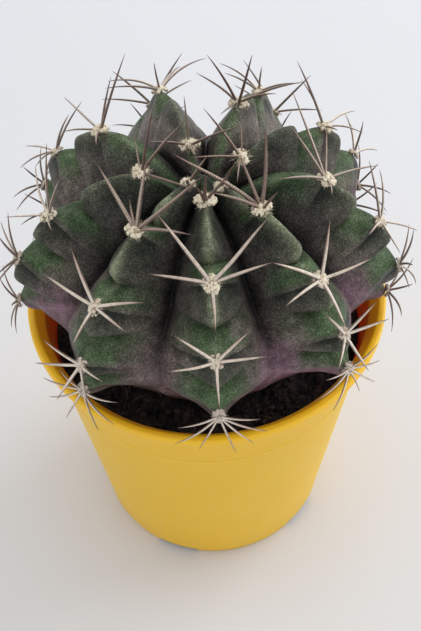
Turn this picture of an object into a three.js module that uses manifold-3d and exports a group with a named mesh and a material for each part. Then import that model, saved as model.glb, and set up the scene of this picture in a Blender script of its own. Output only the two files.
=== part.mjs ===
// A potted chin cactus: a ribbed, dark green-and-purple globe in a small yellow plastic pot.
// Millimetres, +Z up. The origin is the centre of the pot's base, where it stands.
// Azimuths turn from +X towards +Y. A polar angle is counted from the crown down a rib.
import * as THREE from 'three';
import { mergeVertices } from 'three/addons/utils/BufferGeometryUtils.js';
import Module from 'manifold-3d';

const wasm = await Module();
wasm.setup();

// ---------------------------------------------------------------- driving dimensions
const CLEARANCE = 0.3;            // gap between two pieces that touch

const POT_HEIGHT = 77;
const POT_RIM_RADIUS = 42.5;
const POT_RIM_LAND = 1.6;         // width of the flat top of the rim
const POT_LIP_DEPTH = 2.2;        // how far the rim's lip reaches down the wall
const POT_WALL_TOP_RADIUS = 40.0; // outside of the wall, just under the lip
const POT_BASE_RADIUS = 29.8;
const POT_WALL = 1.1;
const POT_FLOOR = 1.3;
const POT_FACETS = 44;
const LEDGE_DROP = 16.2;          // faint ledge round the wall, below the rim
const LEDGE_STEP = 0.35;
const DRAIN_COUNT = 5;            // notches through the foot, which let the water out
const DRAIN_WIDTH = 11;
const DRAIN_HEIGHT = 2;
const DRAIN_DEPTH = 5;
const DRAIN_AZIMUTH = 249;        // the notch that shows at the front left

const SOIL_DROP = 12;             // soil surface below the rim
const SOIL_SWELL = 0.8;           // how far the soil surface rises and dips
const SOIL_FACETS = 38;
const SOIL_TOP = POT_HEIGHT - SOIL_DROP;
const HOLE_SLACK = 0.5;           // gap between the plant's foot and its hole in the soil
const HOLE_STEPS = 6;

const GIRTH_RADIUS = 44.0;        // rib crests at the widest, through the areoles
const GIRTH_HEIGHT = POT_HEIGHT + 9.4;
const DOME_HEIGHT = 37.1;         // from the girth up to the crown
const BOWL_DEPTH = 28.0;          // from the girth down to the foot of the plant, in the soil
const CROWN_DIP = 9.0;            // the growing point lies in a dip
const CROWN_DIP_ANGLE = 18;
const CROWN_TILT = 0.45;          // the dip is deeper towards the back right
const CROWN_TILT_AZIMUTH = 65;
const FURROW_DEPTH = 7.6;         // furrows between the ribs, at the girth
const FURROW_EXTRA = 6.4;         // deeper on the shoulder
const FURROW_EXTRA_AT = 48;
const FURROW_EXTRA_SPREAD = 25;
const NOSE_HEIGHT = 8.2;          // a nose stands this far out of its rib on the shoulder
const NOSE_HEIGHT_LOW = 6.2;      // and at the girth
const GIRTH_TUCK = 1.6;           // the lowest noses stand this far back
const CREST_SINK = 0.3;           // the crest between two noses may sink this far below them
const BROW_ROUND = 0.16;          // share of a brow over which it rounds into its areole
const CHIN_SWELL = 1.0;           // a chin on the shoulder swells this far out before it drops
const CHIN_SWELL_LOW = 0.5;       // and one at the girth
const CHIN_POWER = 6;             // the higher, the more suddenly it drops
const CHIN_SWEEP = 0.5;           // a chin ends sooner at its sides: its edge slopes by this
const KEEL_HEIGHT = 1.8;          // narrow keel that runs down the crest of a rib
const KEEL_WIDTH = 2.3;
const FLANK_POWER = 1.38;         // roundness of the flank from crest to furrow on the shoulder
const FLANK_POWER_LOW = 1.62;     // and above the girth
const HEM_POWER = 1.7;            // below it the crests are sharp and the furrows round
const CROSS_FOLD = 2.4;           // depth of the folds that run down the flanks between noses
const FOLD_AT = 0.6;              // the lower, the nearer the folds' deepest part is to the crest
const CREST_BLEND = 1.4;          // width over which crest and flank round into each other
const CREASE_BLEND = 0.9;         // and over which a crease rounds at its bottom
const CHIN_SHARE = 0.78;          // share of the way to the next areole that a high chin takes
const CHIN_SHARE_LOW = 0.62;      // and a chin at the girth
const FIRST_BROW = 0.6;           // a rib's first brow takes this share of the way to the crown
const GAP_ABOVE = 20;             // degrees of room above a rib's first areole
const GAP_BELOW = 15;             // and below its last
const FULL_NOSE_GAP = 24;         // with this room on both sides a nose has its full height
const LEAST_NOSE = 0.4;           // share of the height that it would keep with none
const FOOT_RADIUS = 31.5;         // plain round foot that the ribs run out into below
const FOOT_MIDDLE = POT_HEIGHT + 3;
const FOOT_DEPTH = 21;
const FOOT_FROM = 104;            // polar angles between which the ribs run out
const FOOT_ROUND = 128;
// columns of the body's mesh over one rib: the way from its crest to the furrow and on to the
// next crest, each in shares of half that way, closer together near the crests
const COLUMN_SHARES = [0, 0.16, 0.4, 0.7, 1, 1.3, 1.6, 1.84];
const RIBBED_ROWS = 35;           // rows of the mesh down to the plain foot
const FOOT_ROWS = 5;              // and from there to the bottom

const PAD_RADIUS = 2.0;           // woolly pad of an areole
const PAD_HEIGHT = 1.5;
const PAD_SIDES = 6;
const SPINE_RADIUS = 0.6;         // of a three-sided spine, at its root
const SPINE_STEPS = 3;
const STRAIGHT_BEND = 12;         // up to this bend a spine needs one step less
const YOUNG_PAD = 0.75;           // size of a pad close to the crown
const YOUNG_PAD_BELOW = 13;
const NOSE_TILT = 12;             // an areole faces a little towards the crown, in degrees
const ROOT_OUT = 0.55;            // where spines start: out of the skin, and off the middle
const ROOT_ASIDE = 0.35;

// Ribs in turn round the plant. "lean" bends a rib near the crown, and each number of
// "areoles" is the polar angle of one areole, from the crown down.
const RIBS = [
  { azimuth: 272, lean: 0, areoles: [17, 41.8, 64.5, 85.5] },
  { azimuth: 312, lean: -14, areoles: [11, 25.5, 51.5, 71.5, 87] },
  { azimuth: 351, lean: 0, areoles: [36.5, 60.5, 82.5, 100] },
  { azimuth: 391, lean: -14, areoles: [14, 47, 71, 89, 101] },
  { azimuth: 424.6, lean: 0, areoles: [28, 47.5, 73, 89, 101] },
  { azimuth: 466, lean: 0, areoles: [13, 46, 68, 86, 100] },
  { azimuth: 509, lean: 0, areoles: [35, 60.5, 82, 97] },
  { azimuth: 550.6, lean: 10, areoles: [18, 48.5, 69.5, 92] },
  { azimuth: 592, lean: 12, areoles: [9, 31, 55.5, 76.5, 89] },
];
const LEAN_SPREAD = 20;

// One spine is [clock, lift, length, bend]: clock is its direction round the areole in
// degrees (0 towards the crown, 90 to the right seen from outside), lift its angle off the
// skin, and bend how far it has turned back towards the skin at its tip.
const YOUNG_SPINES = [[-30, 62, 14, 8], [60, 58, 12, 10], [178, 66, 8, 5]];
const GROWN_SPINES = [
  [-40, 40, 15, 14], [44, 40, 14.5, 14], [-92, 26, 11.5, 16], [88, 26, 12, 16], [180, 18, 8.5, 10],
];
const OLD_SPINES = [
  [-24, 46, 9, 30], [30, 44, 9.5, 30], [-72, 34, 10.5, 36], [76, 34, 10, 36],
  [-118, 28, 9.5, 34], [120, 28, 9, 34],
];
const YOUNG_BELOW = 33;           // polar angles where one kind of spine set gives way
const OLD_FROM = 80;

// Spines of the areoles whose own pattern shows plainly, by rib and areole.
const OWN_SPINES = {
  '1_1': [[-145, 72, 7, 5], [175, 75, 12, 5], [100, 62, 9, 5]],
  '1_2': [
    [-40, 42, 18, 12], [52, 42, 18, 12], [-82, 25, 12.5, 14], [80, 28, 12.5, 14], [180, 16, 10, 8],
  ],
  '1_3': [[-50, 30, 11, 14], [45, 35, 10.5, 14], [-95, 25, 10, 18], [85, 22, 10, 18], [180, 16, 9, 8]],
  '1_4': [
    [-88, 38, 9, 35], [-120, 25, 11, 40], [85, 35, 8.5, 35], [108, 30, 10.5, 40],
    [160, 25, 9, 30], [130, 30, 9, 30], [-145, 30, 8, 30], [10, 60, 6, 20],
  ],
  '2_1': [[-160, 58, 7, 8], [150, 70, 8, 8]],
  '2_2': [[-32, 28, 21, 6], [-58, 35, 12, 8], [-5, 55, 12, 6], [35, 65, 17, 4], [170, 75, 8, 4]],
  '2_3': [[32, 38, 12, 10], [105, 25, 11, 10], [-45, 28, 13, 22], [-88, 14, 11, 10], [-165, 14, 11, 10]],
  '2_4': [[62, 35, 9, 12], [100, 30, 9.5, 12], [-120, 28, 8, 18], [180, 20, 9, 8], [-30, 30, 11, 14]],
  '2_5': [
    [112, 22, 8.5, 30], [145, 22, 10, 35], [-92, 20, 11, 35], [178, 25, 6, 20],
    [-118, 28, 9.5, 30], [-60, 28, 10, 30], [55, 40, 8, 30],
  ],
  '3_1': [
    [-38, 26, 15, 20], [26, 45, 20, 6], [-4, 46, 17, 6], [150, 25, 12, 25], [55, 55, 11, 6],
    [-100, 40, 6, 50],
  ],
  '3_2': [[8, 36, 16, 8], [46, 48, 11, 40], [170, 34, 9, 30], [-58, 16, 11, 10], [-115, 20, 9, 10]],
  '3_3': [[-2, 42, 12, 25], [42, 34, 9, 20], [-45, 34, 11, 15], [165, 22, 11, 35], [-95, 25, 7, 15]],
  '4_1': [[40, 60, 14, 6], [115, 62, 7, 30], [-12, 34, 14, 8], [-60, 34, 10, 45]],
  '4_2': [[12, 46, 20, 8], [40, 52, 12, 25], [165, 30, 12, 35], [-150, 30, 9, 40], [-55, 28, 10, 10]],
  '4_3': [[165, 36, 12, 30], [120, 30, 13, 20], [-10, 45, 11, 20], [80, 46, 10, 30]],
  '5_1': [
    [45, 64, 15, 12], [-32, 64, 19, 6], [80, 40, 11, 20], [-105, 40, 15, 25], [-70, 46, 12, 25],
    [0, 24, 11, 20],
  ],
  '5_2': [[82, 40, 11, 35], [35, 30, 11, 20], [-60, 34, 13, 20], [-10, 58, 9, 20]],
  '6_1': [[-175, 74, 11, 4], [80, 35, 11, 10], [-40, 46, 17, 6], [8, 38, 7, 20]],
  '6_2': [[140, 26, 15, 35], [55, 26, 17, 18], [12, 62, 9, 15], [-108, 36, 14, 40], [-140, 26, 12, 30]],
  '7_1': [[-14, 56, 22, 4], [-34, 64, 13, 8], [-165, 40, 11, 12], [150, 30, 8, 35], [60, 26, 7, 40]],
  '7_2': [[-8, 36, 12, 20], [-38, 32, 13, 20], [-175, 35, 10, 20], [150, 30, 10, 40], [80, 26, 8, 35]],
  '8_1': [[-80, 64, 7, 20], [45, 78, 21, 6], [22, 58, 18, 6], [-10, 48, 11, 10], [60, 22, 16, 8]],
  '8_2': [[-165, 30, 9, 10], [-80, 45, 11, 40], [-4, 56, 19, 8], [28, 46, 17, 8], [80, 38, 7, 50]],
  '8_3': [[-12, 45, 12, 20], [25, 54, 12, 15], [75, 42, 12, 10], [120, 36, 9, 10], [-80, 34, 9, 20]],
  '8_4': [[0, 40, 9, 25], [170, 30, 8, 35], [105, 24, 8, 30], [50, 32, 7, 30], [-70, 32, 9, 30]],
  '9_1': [[155, 50, 8, 10], [60, 66, 8, 8]],
  '9_2': [[-65, 54, 15, 8], [-30, 74, 7, 15], [6, 64, 17, 6], [50, 44, 21, 4], [72, 24, 12, 30]],
  '9_3': [[-85, 22, 12, 8], [-35, 40, 13, 8], [62, 25, 13, 16], [95, 18, 10, 8], [180, 20, 9, 22]],
  '9_4': [[-68, 30, 9, 12], [-108, 30, 9.5, 12], [-168, 25, 9, 14], [85, 26, 7, 25], [135, 28, 7, 18]],
  '9_5': [
    [-92, 30, 9, 30], [-128, 26, 9.5, 30], [-165, 25, 9, 25], [95, 30, 11, 35], [130, 28, 9, 25],
    [68, 26, 11, 40], [-40, 36, 7, 30],
  ],
};

// ---------------------------------------------------------------- small helpers
const DEG = Math.PI / 180;
const square = (x) => x * x;
const clamp01 = (x) => Math.min(1, Math.max(0, x));
const blend = (a, b, t) => a + (b - a) * t;
const ease = (a, b, x) => {
  const t = clamp01((x - a) / (b - a));
  return t * t * (3 - 2 * t);
};

// Larger of two values, with the step between them rounded over a width k.
function softMax(a, b, k) {
  const t = clamp01(0.5 + (a - b) / (2 * k));
  return blend(b, a, t) + k * t * (1 - t);
}

function solidOf(geometry) {
  const bare = geometry.clone();
  bare.deleteAttribute('normal');
  bare.deleteAttribute('uv');
  const merged = mergeVertices(bare, 1e-4);
  return new wasm.Manifold(new wasm.Mesh({
    numProp: 3,
    vertProperties: new Float32Array(merged.attributes.position.array),
    triVerts: new Uint32Array(merged.index.array),
  }));
}

function geometryOf(solid) {
  const mesh = solid.getMesh();
  const geometry = new THREE.BufferGeometry();
  const points = new Float32Array(mesh.numVert * 3);
  for (let i = 0; i < mesh.numVert; i++) {
    for (let c = 0; c < 3; c++) {
      points[3 * i + c] = mesh.vertProperties[i * mesh.numProp + c];
    }
  }
  geometry.setAttribute('position', new THREE.BufferAttribute(points, 3));
  geometry.setIndex(new THREE.BufferAttribute(new Uint32Array(mesh.triVerts), 1));
  geometry.computeVertexNormals();
  return geometry;
}

// The largest of the loose bodies in a solid: the cut-off scraps are dropped.
function largestOf(solid) {
  const bodies = solid.decompose();
  return bodies.reduce((best, body) => (body.volume() > best.volume() ? body : best));
}

// ---------------------------------------------------------------- the plant's surface
// Crests of the ribs lie on a globe: an upper and a lower half ellipse turned round Z.
function crestPoint(polar) {
  const half = polar < Math.PI / 2 ? DOME_HEIGHT : BOWL_DEPTH;
  const nr = Math.sin(polar) / GIRTH_RADIUS;
  const nz = Math.cos(polar) / half;
  const n = Math.hypot(nr, nz);
  return {
    r: GIRTH_RADIUS * Math.sin(polar),
    z: GIRTH_HEIGHT + half * Math.cos(polar),
    nr: nr / n,
    nz: nz / n,
    // millimetres along the crest for each radian of polar angle
    pace: Math.hypot(GIRTH_RADIUS * Math.cos(polar), half * Math.sin(polar)),
  };
}

const ribAzimuth = (rib, polar) =>
  DEG * (rib.azimuth + rib.lean * Math.exp(-square(polar / DEG / LEAN_SPREAD)));

// Height of the noses at a polar angle in degrees: tall on the shoulder, low at the girth.
const noseRise = (deg) => blend(NOSE_HEIGHT, NOSE_HEIGHT_LOW, ease(50, 84, deg));

const chinSwell = (deg) => blend(CHIN_SWELL, CHIN_SWELL_LOW, ease(50, 84, deg));

const chinShare = (deg) => blend(CHIN_SHARE, CHIN_SHARE_LOW, ease(15, 60, deg));

// Height over the crest globe of one nose, with its brow above and its chin below.
// "along" runs down the rib from the areole and "across" away from its crest, in millimetres.
function noseHeight(along, across, brow, chin, rise, swell) {
  const up = Math.max(-along, 0) / brow;
  const down = Math.max(along + CHIN_SWEEP * across * ease(0, 2, along), 0) / chin;
  const browDrop = rise * (Math.hypot(up, BROW_ROUND) - BROW_ROUND);
  const swollen = swell * Math.sin(Math.PI * clamp01(down));
  const chinDrop = rise * Math.pow(Math.min(down, 3), CHIN_POWER);
  return swollen - browDrop - chinDrop;
}

// Height over the crest globe along a whole rib: its noses, and the creases between them.
function crestLine(rib, deg, across) {
  const last = rib.areoles.length - 1;
  const heights = rib.areoles.map((angle, j) => {
    const before = j > 0 ? angle - rib.areoles[j - 1] : GAP_ABOVE;
    const after = j < last ? rib.areoles[j + 1] - angle : GAP_BELOW;
    const perDegree = crestPoint(angle * DEG).pace * DEG;
    const brow = perDegree * (j > 0 ? before * (1 - chinShare(angle)) : angle * FIRST_BROW);
    const chin = perDegree * after * chinShare(angle);
    const room = Math.min(before, after) / FULL_NOSE_GAP;
    const rise = noseRise(angle) * clamp01(blend(LEAST_NOSE, 1, room));
    return noseHeight(perDegree * (deg - angle), across, brow, chin, rise, chinSwell(angle));
  });
  const lowest = (noseRise(deg) + CREST_SINK) * ease(0, 12, deg);
  return softMax(Math.max(...heights), -lowest, CREASE_BLEND);
}

// Height over the crest globe of a rib's flank, which falls from the keel to the furrow.
// "share" is 0 on the crest and 1 in the furrow.
function flankHeight(deg, across, share, noses) {
  const shoulder = Math.exp(-square((deg - FURROW_EXTRA_AT) / FURROW_EXTRA_SPREAD));
  const depth = (FURROW_DEPTH + FURROW_EXTRA * shoulder) * ease(0, 15, deg);
  const power = blend(FLANK_POWER, FLANK_POWER_LOW, ease(45, 70, deg));
  const hem = 1 - Math.pow(1 - share, HEM_POWER);
  const valley = blend(Math.pow(share, power), hem, ease(78, 92, deg));
  const keel = KEEL_HEIGHT * (1 - Math.exp(-square(across / KEEL_WIDTH))) * ease(5, 20, deg);
  const nearCrest = Math.pow(share, FOLD_AT);
  const folded = square(clamp01(-noses / noseRise(deg))) * 4 * nearCrest * (1 - nearCrest);
  return -Math.max(depth - keel, 0) * valley - keel - CROSS_FOLD * folded * ease(5, 25, deg);
}

// The rib that an azimuth belongs to, how far round it is from the rib's crest, and what
// share of the way from the crest to the furrow that is.
function ribUnder(polar, azimuth) {
  const turn = 2 * Math.PI;
  let nearest = null;
  RIBS.forEach((rib, k) => {
    const here = ribAzimuth(rib, polar);
    const offset = azimuth - here - turn * Math.round((azimuth - here) / turn);
    const next = RIBS[(k + (offset >= 0 ? 1 : RIBS.length - 1)) % RIBS.length];
    const gap = ribAzimuth(next, polar) - here;
    const share = Math.abs(2 * offset / (gap - turn * Math.round(gap / turn)));
    if (!nearest || share < nearest.share) {
      nearest = { rib, offset, share: Math.min(share, 1) };
    }
  });
  return nearest;
}

// Height over the crest globe of the whole skin, for a direction from the plant's middle: the
// lower of the rib's crest line and its flank, with the step between them rounded.
function skinHeight(polar, azimuth) {
  const deg = polar / DEG;
  const { rib, offset, share } = ribUnder(polar, azimuth);
  const across = Math.abs(crestPoint(polar).r * offset);
  const noses = crestLine(rib, deg, across);
  const flank = flankHeight(deg, across, share, noses);
  let height = CREST_BLEND / 4 - softMax(-flank, -noses, CREST_BLEND);
  const tilt = CROWN_TILT * ease(0, 16, deg) * Math.cos(azimuth - CROWN_TILT_AZIMUTH * DEG);
  height -= CROWN_DIP * (1 + tilt) * Math.exp(-square(deg / CROWN_DIP_ANGLE));
  height -= GIRTH_TUCK * ease(84, 98, deg);
  return height;
}

function skinPoint(polar, azimuth) {
  const crest = crestPoint(polar);
  const height = skinHeight(polar, azimuth);
  const foot = footPoint(polar, 0);
  const t = ease(FOOT_FROM, FOOT_ROUND, polar / DEG);
  const r = blend(Math.max(crest.r + height * crest.nr, 0), foot.r, t);
  const z = blend(crest.z + height * crest.nz, foot.z, t);
  return new THREE.Vector3(r * Math.cos(azimuth), r * Math.sin(azimuth), z);
}

// The plain foot is the lower half of an ellipsoid, here grown outwards by "slack".
function footPoint(polar, slack) {
  return {
    r: (FOOT_RADIUS + slack) * Math.sin(polar),
    z: FOOT_MIDDLE + (FOOT_DEPTH + slack) * Math.cos(polar),
  };
}

// Polar angle of a row of the body's mesh: close rows where the ribs are, wide ones below.
const rowPolar = (row) => (row <= RIBBED_ROWS
  ? DEG * FOOT_ROUND * (row / RIBBED_ROWS)
  : DEG * blend(FOOT_ROUND, 180, (row - RIBBED_ROWS) / FOOT_ROWS));

// Closed skin of the plant. Its columns follow the ribs and the furrows.
function skinGeometry() {
  const points = [skinPoint(0, 0)];
  const columns = RIBS.length * COLUMN_SHARES.length;
  const rows = RIBBED_ROWS + FOOT_ROWS;
  const turn = 2 * Math.PI;
  for (let row = 1; row < rows; row++) {
    const polar = rowPolar(row);
    RIBS.forEach((rib, k) => {
      const from = ribAzimuth(rib, polar);
      let to = ribAzimuth(RIBS[(k + 1) % RIBS.length], polar);
      to += turn * Math.round((from + turn / RIBS.length - to) / turn);
      for (const share of COLUMN_SHARES) {
        points.push(skinPoint(polar, blend(from, to, share / 2)));
      }
    });
  }
  points.push(skinPoint(Math.PI, 0));
  const at = (row, column) => 1 + (row - 1) * columns + (column % columns);
  const faces = [];
  for (let column = 0; column < columns; column++) {
    faces.push(0, at(1, column), at(1, column + 1));
    for (let row = 1; row < rows - 1; row++) {
      faces.push(at(row, column), at(row + 1, column), at(row + 1, column + 1));
      faces.push(at(row, column), at(row + 1, column + 1), at(row, column + 1));
    }
    faces.push(at(rows - 1, column), points.length - 1, at(rows - 1, column + 1));
  }
  const geometry = new THREE.BufferGeometry().setFromPoints(points);
  geometry.setIndex(faces);
  geometry.computeVertexNormals();
  return geometry;
}

// The same skin moved out along its normals, for cutting what is seated on it.
function grown(geometry, distance) {
  const bigger = geometry.clone();
  const place = bigger.attributes.position;
  const normal = geometry.attributes.normal;
  for (let i = 0; i < place.count; i++) {
    place.setXYZ(i, place.getX(i) + distance * normal.getX(i),
      place.getY(i) + distance * normal.getY(i), place.getZ(i) + distance * normal.getZ(i));
  }
  return bigger;
}

// ---------------------------------------------------------------- areoles and spines
// Place and directions of an areole: out of the skin, up towards the crown, and right.
function areoleFrame(rib, angle) {
  const polar = angle * DEG;
  const azimuth = ribAzimuth(rib, polar);
  const crest = crestPoint(polar);
  const away = new THREE.Vector3(Math.cos(azimuth), Math.sin(azimuth), 0);
  const out = away.clone().multiplyScalar(crest.nr).setZ(crest.nz);
  const right = new THREE.Vector3(-Math.sin(azimuth), Math.cos(azimuth), 0);
  // a nose points a little towards the crown
  out.applyAxisAngle(right, -NOSE_TILT * DEG).normalize();
  const up = new THREE.Vector3().crossVectors(out, right).normalize();
  return { origin: skinPoint(polar, azimuth), out, up, right };
}

// A woolly pad: a low dome that reaches below the skin.
function padGeometry(frame, size) {
  const rings = [[0.0, -1.0], [0.95, -1.0], [1.0, 0.2], [0.6, 0.85], [0.0, 1.0]];
  const profile = rings.map(([r, h]) => new THREE.Vector2(
    r * PAD_RADIUS * size, h * PAD_HEIGHT * size));
  const geometry = new THREE.LatheGeometry(profile, PAD_SIDES);
  const basis = new THREE.Matrix4().makeBasis(frame.right, frame.out, frame.up.clone().negate());
  geometry.applyMatrix4(basis);
  geometry.translate(frame.origin.x, frame.origin.y, frame.origin.z);
  return geometry;
}

// Points along a spine: it leaves at its lift and turns evenly by its bend to the tip.
function spinePath(frame, [clock, lift, length, bend], steps) {
  const side = frame.up.clone().multiplyScalar(Math.cos(clock * DEG))
    .addScaledVector(frame.right, Math.sin(clock * DEG));
  const root = frame.origin.clone().addScaledVector(frame.out, ROOT_OUT)
    .addScaledVector(side, ROOT_ASIDE);
  const points = [];
  for (let i = 0; i <= steps; i++) {
    const turned = (lift - (bend * i) / steps) * DEG;
    const over = (Math.sin(lift * DEG) - Math.sin(turned)) / (bend * DEG);
    const out = (Math.cos(turned) - Math.cos(lift * DEG)) / (bend * DEG);
    points.push(root.clone().addScaledVector(side, over * length)
      .addScaledVector(frame.out, out * length));
  }
  return points;
}

// A three-sided needle, thickest at its root and drawn out to a point.
function spineGeometry(frame, spine, rootRadius) {
  const steps = spine[3] <= STRAIGHT_BEND ? SPINE_STEPS - 1 : SPINE_STEPS;
  const path = spinePath(frame, spine, steps);
  const sides = 3;
  const points = [];
  for (let i = 0; i < steps; i++) {
    const tangent = path[i + 1].clone().sub(path[Math.max(i - 1, 0)]).normalize();
    const across = new THREE.Vector3().crossVectors(tangent, frame.out).normalize();
    const over = new THREE.Vector3().crossVectors(across, tangent);
    const radius = rootRadius * (1 - 0.85 * Math.pow(i / steps, 1.5));
    for (let s = 0; s < sides; s++) {
      const turn = (2 * Math.PI * s) / sides;
      points.push(path[i].clone().addScaledVector(across, radius * Math.cos(turn))
        .addScaledVector(over, radius * Math.sin(turn)));
    }
  }
  points.push(path[steps]);
  const faces = [0, 1, 2];
  for (let i = 0; i < steps; i++) {
    for (let s = 0; s < sides; s++) {
      const a = i * sides + s;
      const b = i * sides + ((s + 1) % sides);
      if (i < steps - 1) faces.push(a, a + sides, b, b, a + sides, b + sides);
      else faces.push(a, points.length - 1, b);
    }
  }
  const geometry = new THREE.BufferGeometry().setFromPoints(points);
  geometry.setIndex(faces);
  return geometry;
}

function spinesOf(name, angle) {
  if (OWN_SPINES[name]) return OWN_SPINES[name];
  if (angle < YOUNG_BELOW) return YOUNG_SPINES;
  return angle < OLD_FROM ? GROWN_SPINES : OLD_SPINES;
}

// Wool pad and spines of one areole in one body, seated on the skin.
function areoleGeometry(rib, name, angle, seat) {
  const frame = areoleFrame(rib, angle);
  const young = angle < YOUNG_PAD_BELOW;
  const radius = SPINE_RADIUS * (angle < OLD_FROM ? 1 : 0.8);
  let solid = solidOf(padGeometry(frame, young ? YOUNG_PAD : 1));
  for (const spine of spinesOf(name, angle)) {
    solid = solid.add(solidOf(spineGeometry(frame, spine, radius)));
  }
  return geometryOf(largestOf(solid.subtract(seat)));
}

// ---------------------------------------------------------------- pot and soil
// Outside of the pot's wall at a height above its base.
const potWallAt = (z) => blend(POT_BASE_RADIUS, POT_WALL_TOP_RADIUS, z / POT_HEIGHT);

// The pot turned from the outline of its section, from the middle of the floor out, up,
// over the rim and down the inside, with the drain notches cut through its foot.
function potSolid() {
  const lipFoot = POT_HEIGHT - POT_LIP_DEPTH;
  const ledge = POT_HEIGHT - LEDGE_DROP;
  const rimInside = POT_RIM_RADIUS - POT_RIM_LAND;
  const outline = [
    [0, 0],
    [POT_BASE_RADIUS - 0.6, 0],
    [POT_BASE_RADIUS, 0.6],
    [potWallAt(ledge), ledge],
    [potWallAt(ledge) + LEDGE_STEP, ledge + LEDGE_STEP],
    [potWallAt(lipFoot) + LEDGE_STEP, lipFoot],
    [POT_RIM_RADIUS - 0.3, lipFoot],
    [POT_RIM_RADIUS, lipFoot + 0.4],
    [POT_RIM_RADIUS, POT_HEIGHT - 0.4],
    [POT_RIM_RADIUS - 0.4, POT_HEIGHT],
    [rimInside, POT_HEIGHT],
    [potWallAt(lipFoot) - POT_WALL, lipFoot - 0.5],
    [potWallAt(POT_FLOOR) - POT_WALL, POT_FLOOR],
    [0, POT_FLOOR],
  ];
  const lathe = new THREE.LatheGeometry(
    outline.map(([r, z]) => new THREE.Vector2(r, z)), POT_FACETS);
  lathe.rotateX(Math.PI / 2);
  let pot = solidOf(lathe);
  for (let i = 0; i < DRAIN_COUNT; i++) {
    const notch = new THREE.BoxGeometry(DRAIN_DEPTH, DRAIN_WIDTH, 2 * DRAIN_HEIGHT);
    notch.translate(POT_BASE_RADIUS - DRAIN_DEPTH / 2 + 1, 0, 0);
    notch.rotateZ(DEG * (DRAIN_AZIMUTH + (360 / DRAIN_COUNT) * i));
    pot = pot.subtract(solidOf(notch));
  }
  return pot;
}

// A block of potting soil that fills the pot, with a plain round hole where the plant
// stands. The hole follows the plant's foot.
function soilSolid() {
  const bottom = POT_FLOOR + CLEARANCE;
  const wallAt = (z) => potWallAt(z) - POT_WALL - CLEARANCE - 0.1;
  const brinkAt = Math.acos((SOIL_TOP - FOOT_MIDDLE) / (FOOT_DEPTH + HOLE_SLACK));
  const hole = [];
  for (let i = 0; i <= HOLE_STEPS; i++) {
    const foot = footPoint(blend(brinkAt, Math.PI, i / HOLE_STEPS), HOLE_SLACK);
    hole.push([foot.r, foot.z]);
  }
  hole[HOLE_STEPS][0] = 0;
  const brink = hole[0][0];
  const edge = wallAt(SOIL_TOP);
  const outline = [
    [0, bottom], [wallAt(bottom), bottom], [edge, SOIL_TOP],
    [blend(edge, brink, 0.35), SOIL_TOP], [blend(edge, brink, 0.7), SOIL_TOP],
    ...hole,
  ];
  const lathe = new THREE.LatheGeometry(
    outline.map(([r, z]) => new THREE.Vector2(r, z)), SOIL_FACETS);
  lathe.rotateX(Math.PI / 2);
  const place = lathe.attributes.position;
  for (let i = 0; i < place.count; i++) {
    if (Math.abs(place.getZ(i) - SOIL_TOP) > 0.01) continue;
    const x = place.getX(i);
    const y = place.getY(i);
    const swell = Math.sin(0.21 * x + 0.6) * Math.cos(0.17 * y - 0.4)
      + 0.5 * Math.sin(0.4 * y + 0.3 * x);
    place.setZ(i, SOIL_TOP + SOIL_SWELL * swell * clamp01((Math.hypot(x, y) - brink) / 3));
  }
  return solidOf(lathe);
}

// ---------------------------------------------------------------- assembly
const PAINTS = {
  pot: { color: 0xe0b12f, roughness: 0.42, metalness: 0 },
  soil: { color: 0x2a1c14, roughness: 0.95, metalness: 0 },
  skin: { color: 0x3b4a38, roughness: 0.55, metalness: 0 },
  areole: { color: 0xcbb79c, roughness: 0.8, metalness: 0 },
};

const plant = new THREE.Group();
const addPiece = (name, geometry, paint) => {
  const mesh = new THREE.Mesh(geometry, new THREE.MeshStandardMaterial(PAINTS[paint]));
  mesh.name = name;
  plant.add(mesh);
};

const skin = skinGeometry();
const seat = solidOf(grown(skin, CLEARANCE));
addPiece('pot', geometryOf(potSolid()), 'pot');
addPiece('soil', geometryOf(soilSolid()), 'soil');
addPiece('cactus_body', skin, 'skin');
RIBS.forEach((rib, k) => {
  rib.areoles.forEach((angle, j) => {
    const name = `${k + 1}_${j + 1}`;
    addPiece(`areole_${name}`, areoleGeometry(rib, name, angle, seat), 'areole');
  });
});

export default plant;
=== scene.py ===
import itertools

import bpy
import numpy as np
from mathutils import Matrix


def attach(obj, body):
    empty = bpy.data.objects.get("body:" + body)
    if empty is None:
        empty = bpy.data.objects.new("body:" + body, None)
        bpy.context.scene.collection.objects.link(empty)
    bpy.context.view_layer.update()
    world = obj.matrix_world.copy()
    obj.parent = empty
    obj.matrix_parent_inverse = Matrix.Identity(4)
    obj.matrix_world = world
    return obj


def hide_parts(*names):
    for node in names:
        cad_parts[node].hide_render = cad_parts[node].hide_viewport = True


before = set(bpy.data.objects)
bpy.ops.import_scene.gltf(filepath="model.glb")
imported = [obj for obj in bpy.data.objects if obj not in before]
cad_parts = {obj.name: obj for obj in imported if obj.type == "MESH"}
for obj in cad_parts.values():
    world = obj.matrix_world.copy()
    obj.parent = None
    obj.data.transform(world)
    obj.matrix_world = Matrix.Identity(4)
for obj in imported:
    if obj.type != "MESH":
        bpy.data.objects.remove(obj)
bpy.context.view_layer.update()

MM = 0.001

# ------------------------------------------------------------------ objects and camera
CAMERA_PLACE = (0.0, -174.19, 287.66)
CAMERA_PITCH = 51.72
CAMERA_YAW = 0.25
CAMERA_ROLL = -2.16
FRAME_HEIGHT_PX = 631
FOCAL_PX = 1150
SENSOR = 36.0
NEAREST = 10.0                    # nothing closer to the camera is drawn


def in_scene(name, data):
    """A new object that holds the data, linked to the scene."""
    made = bpy.data.objects.new(name, data)
    bpy.context.scene.collection.objects.link(made)
    return made


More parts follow.
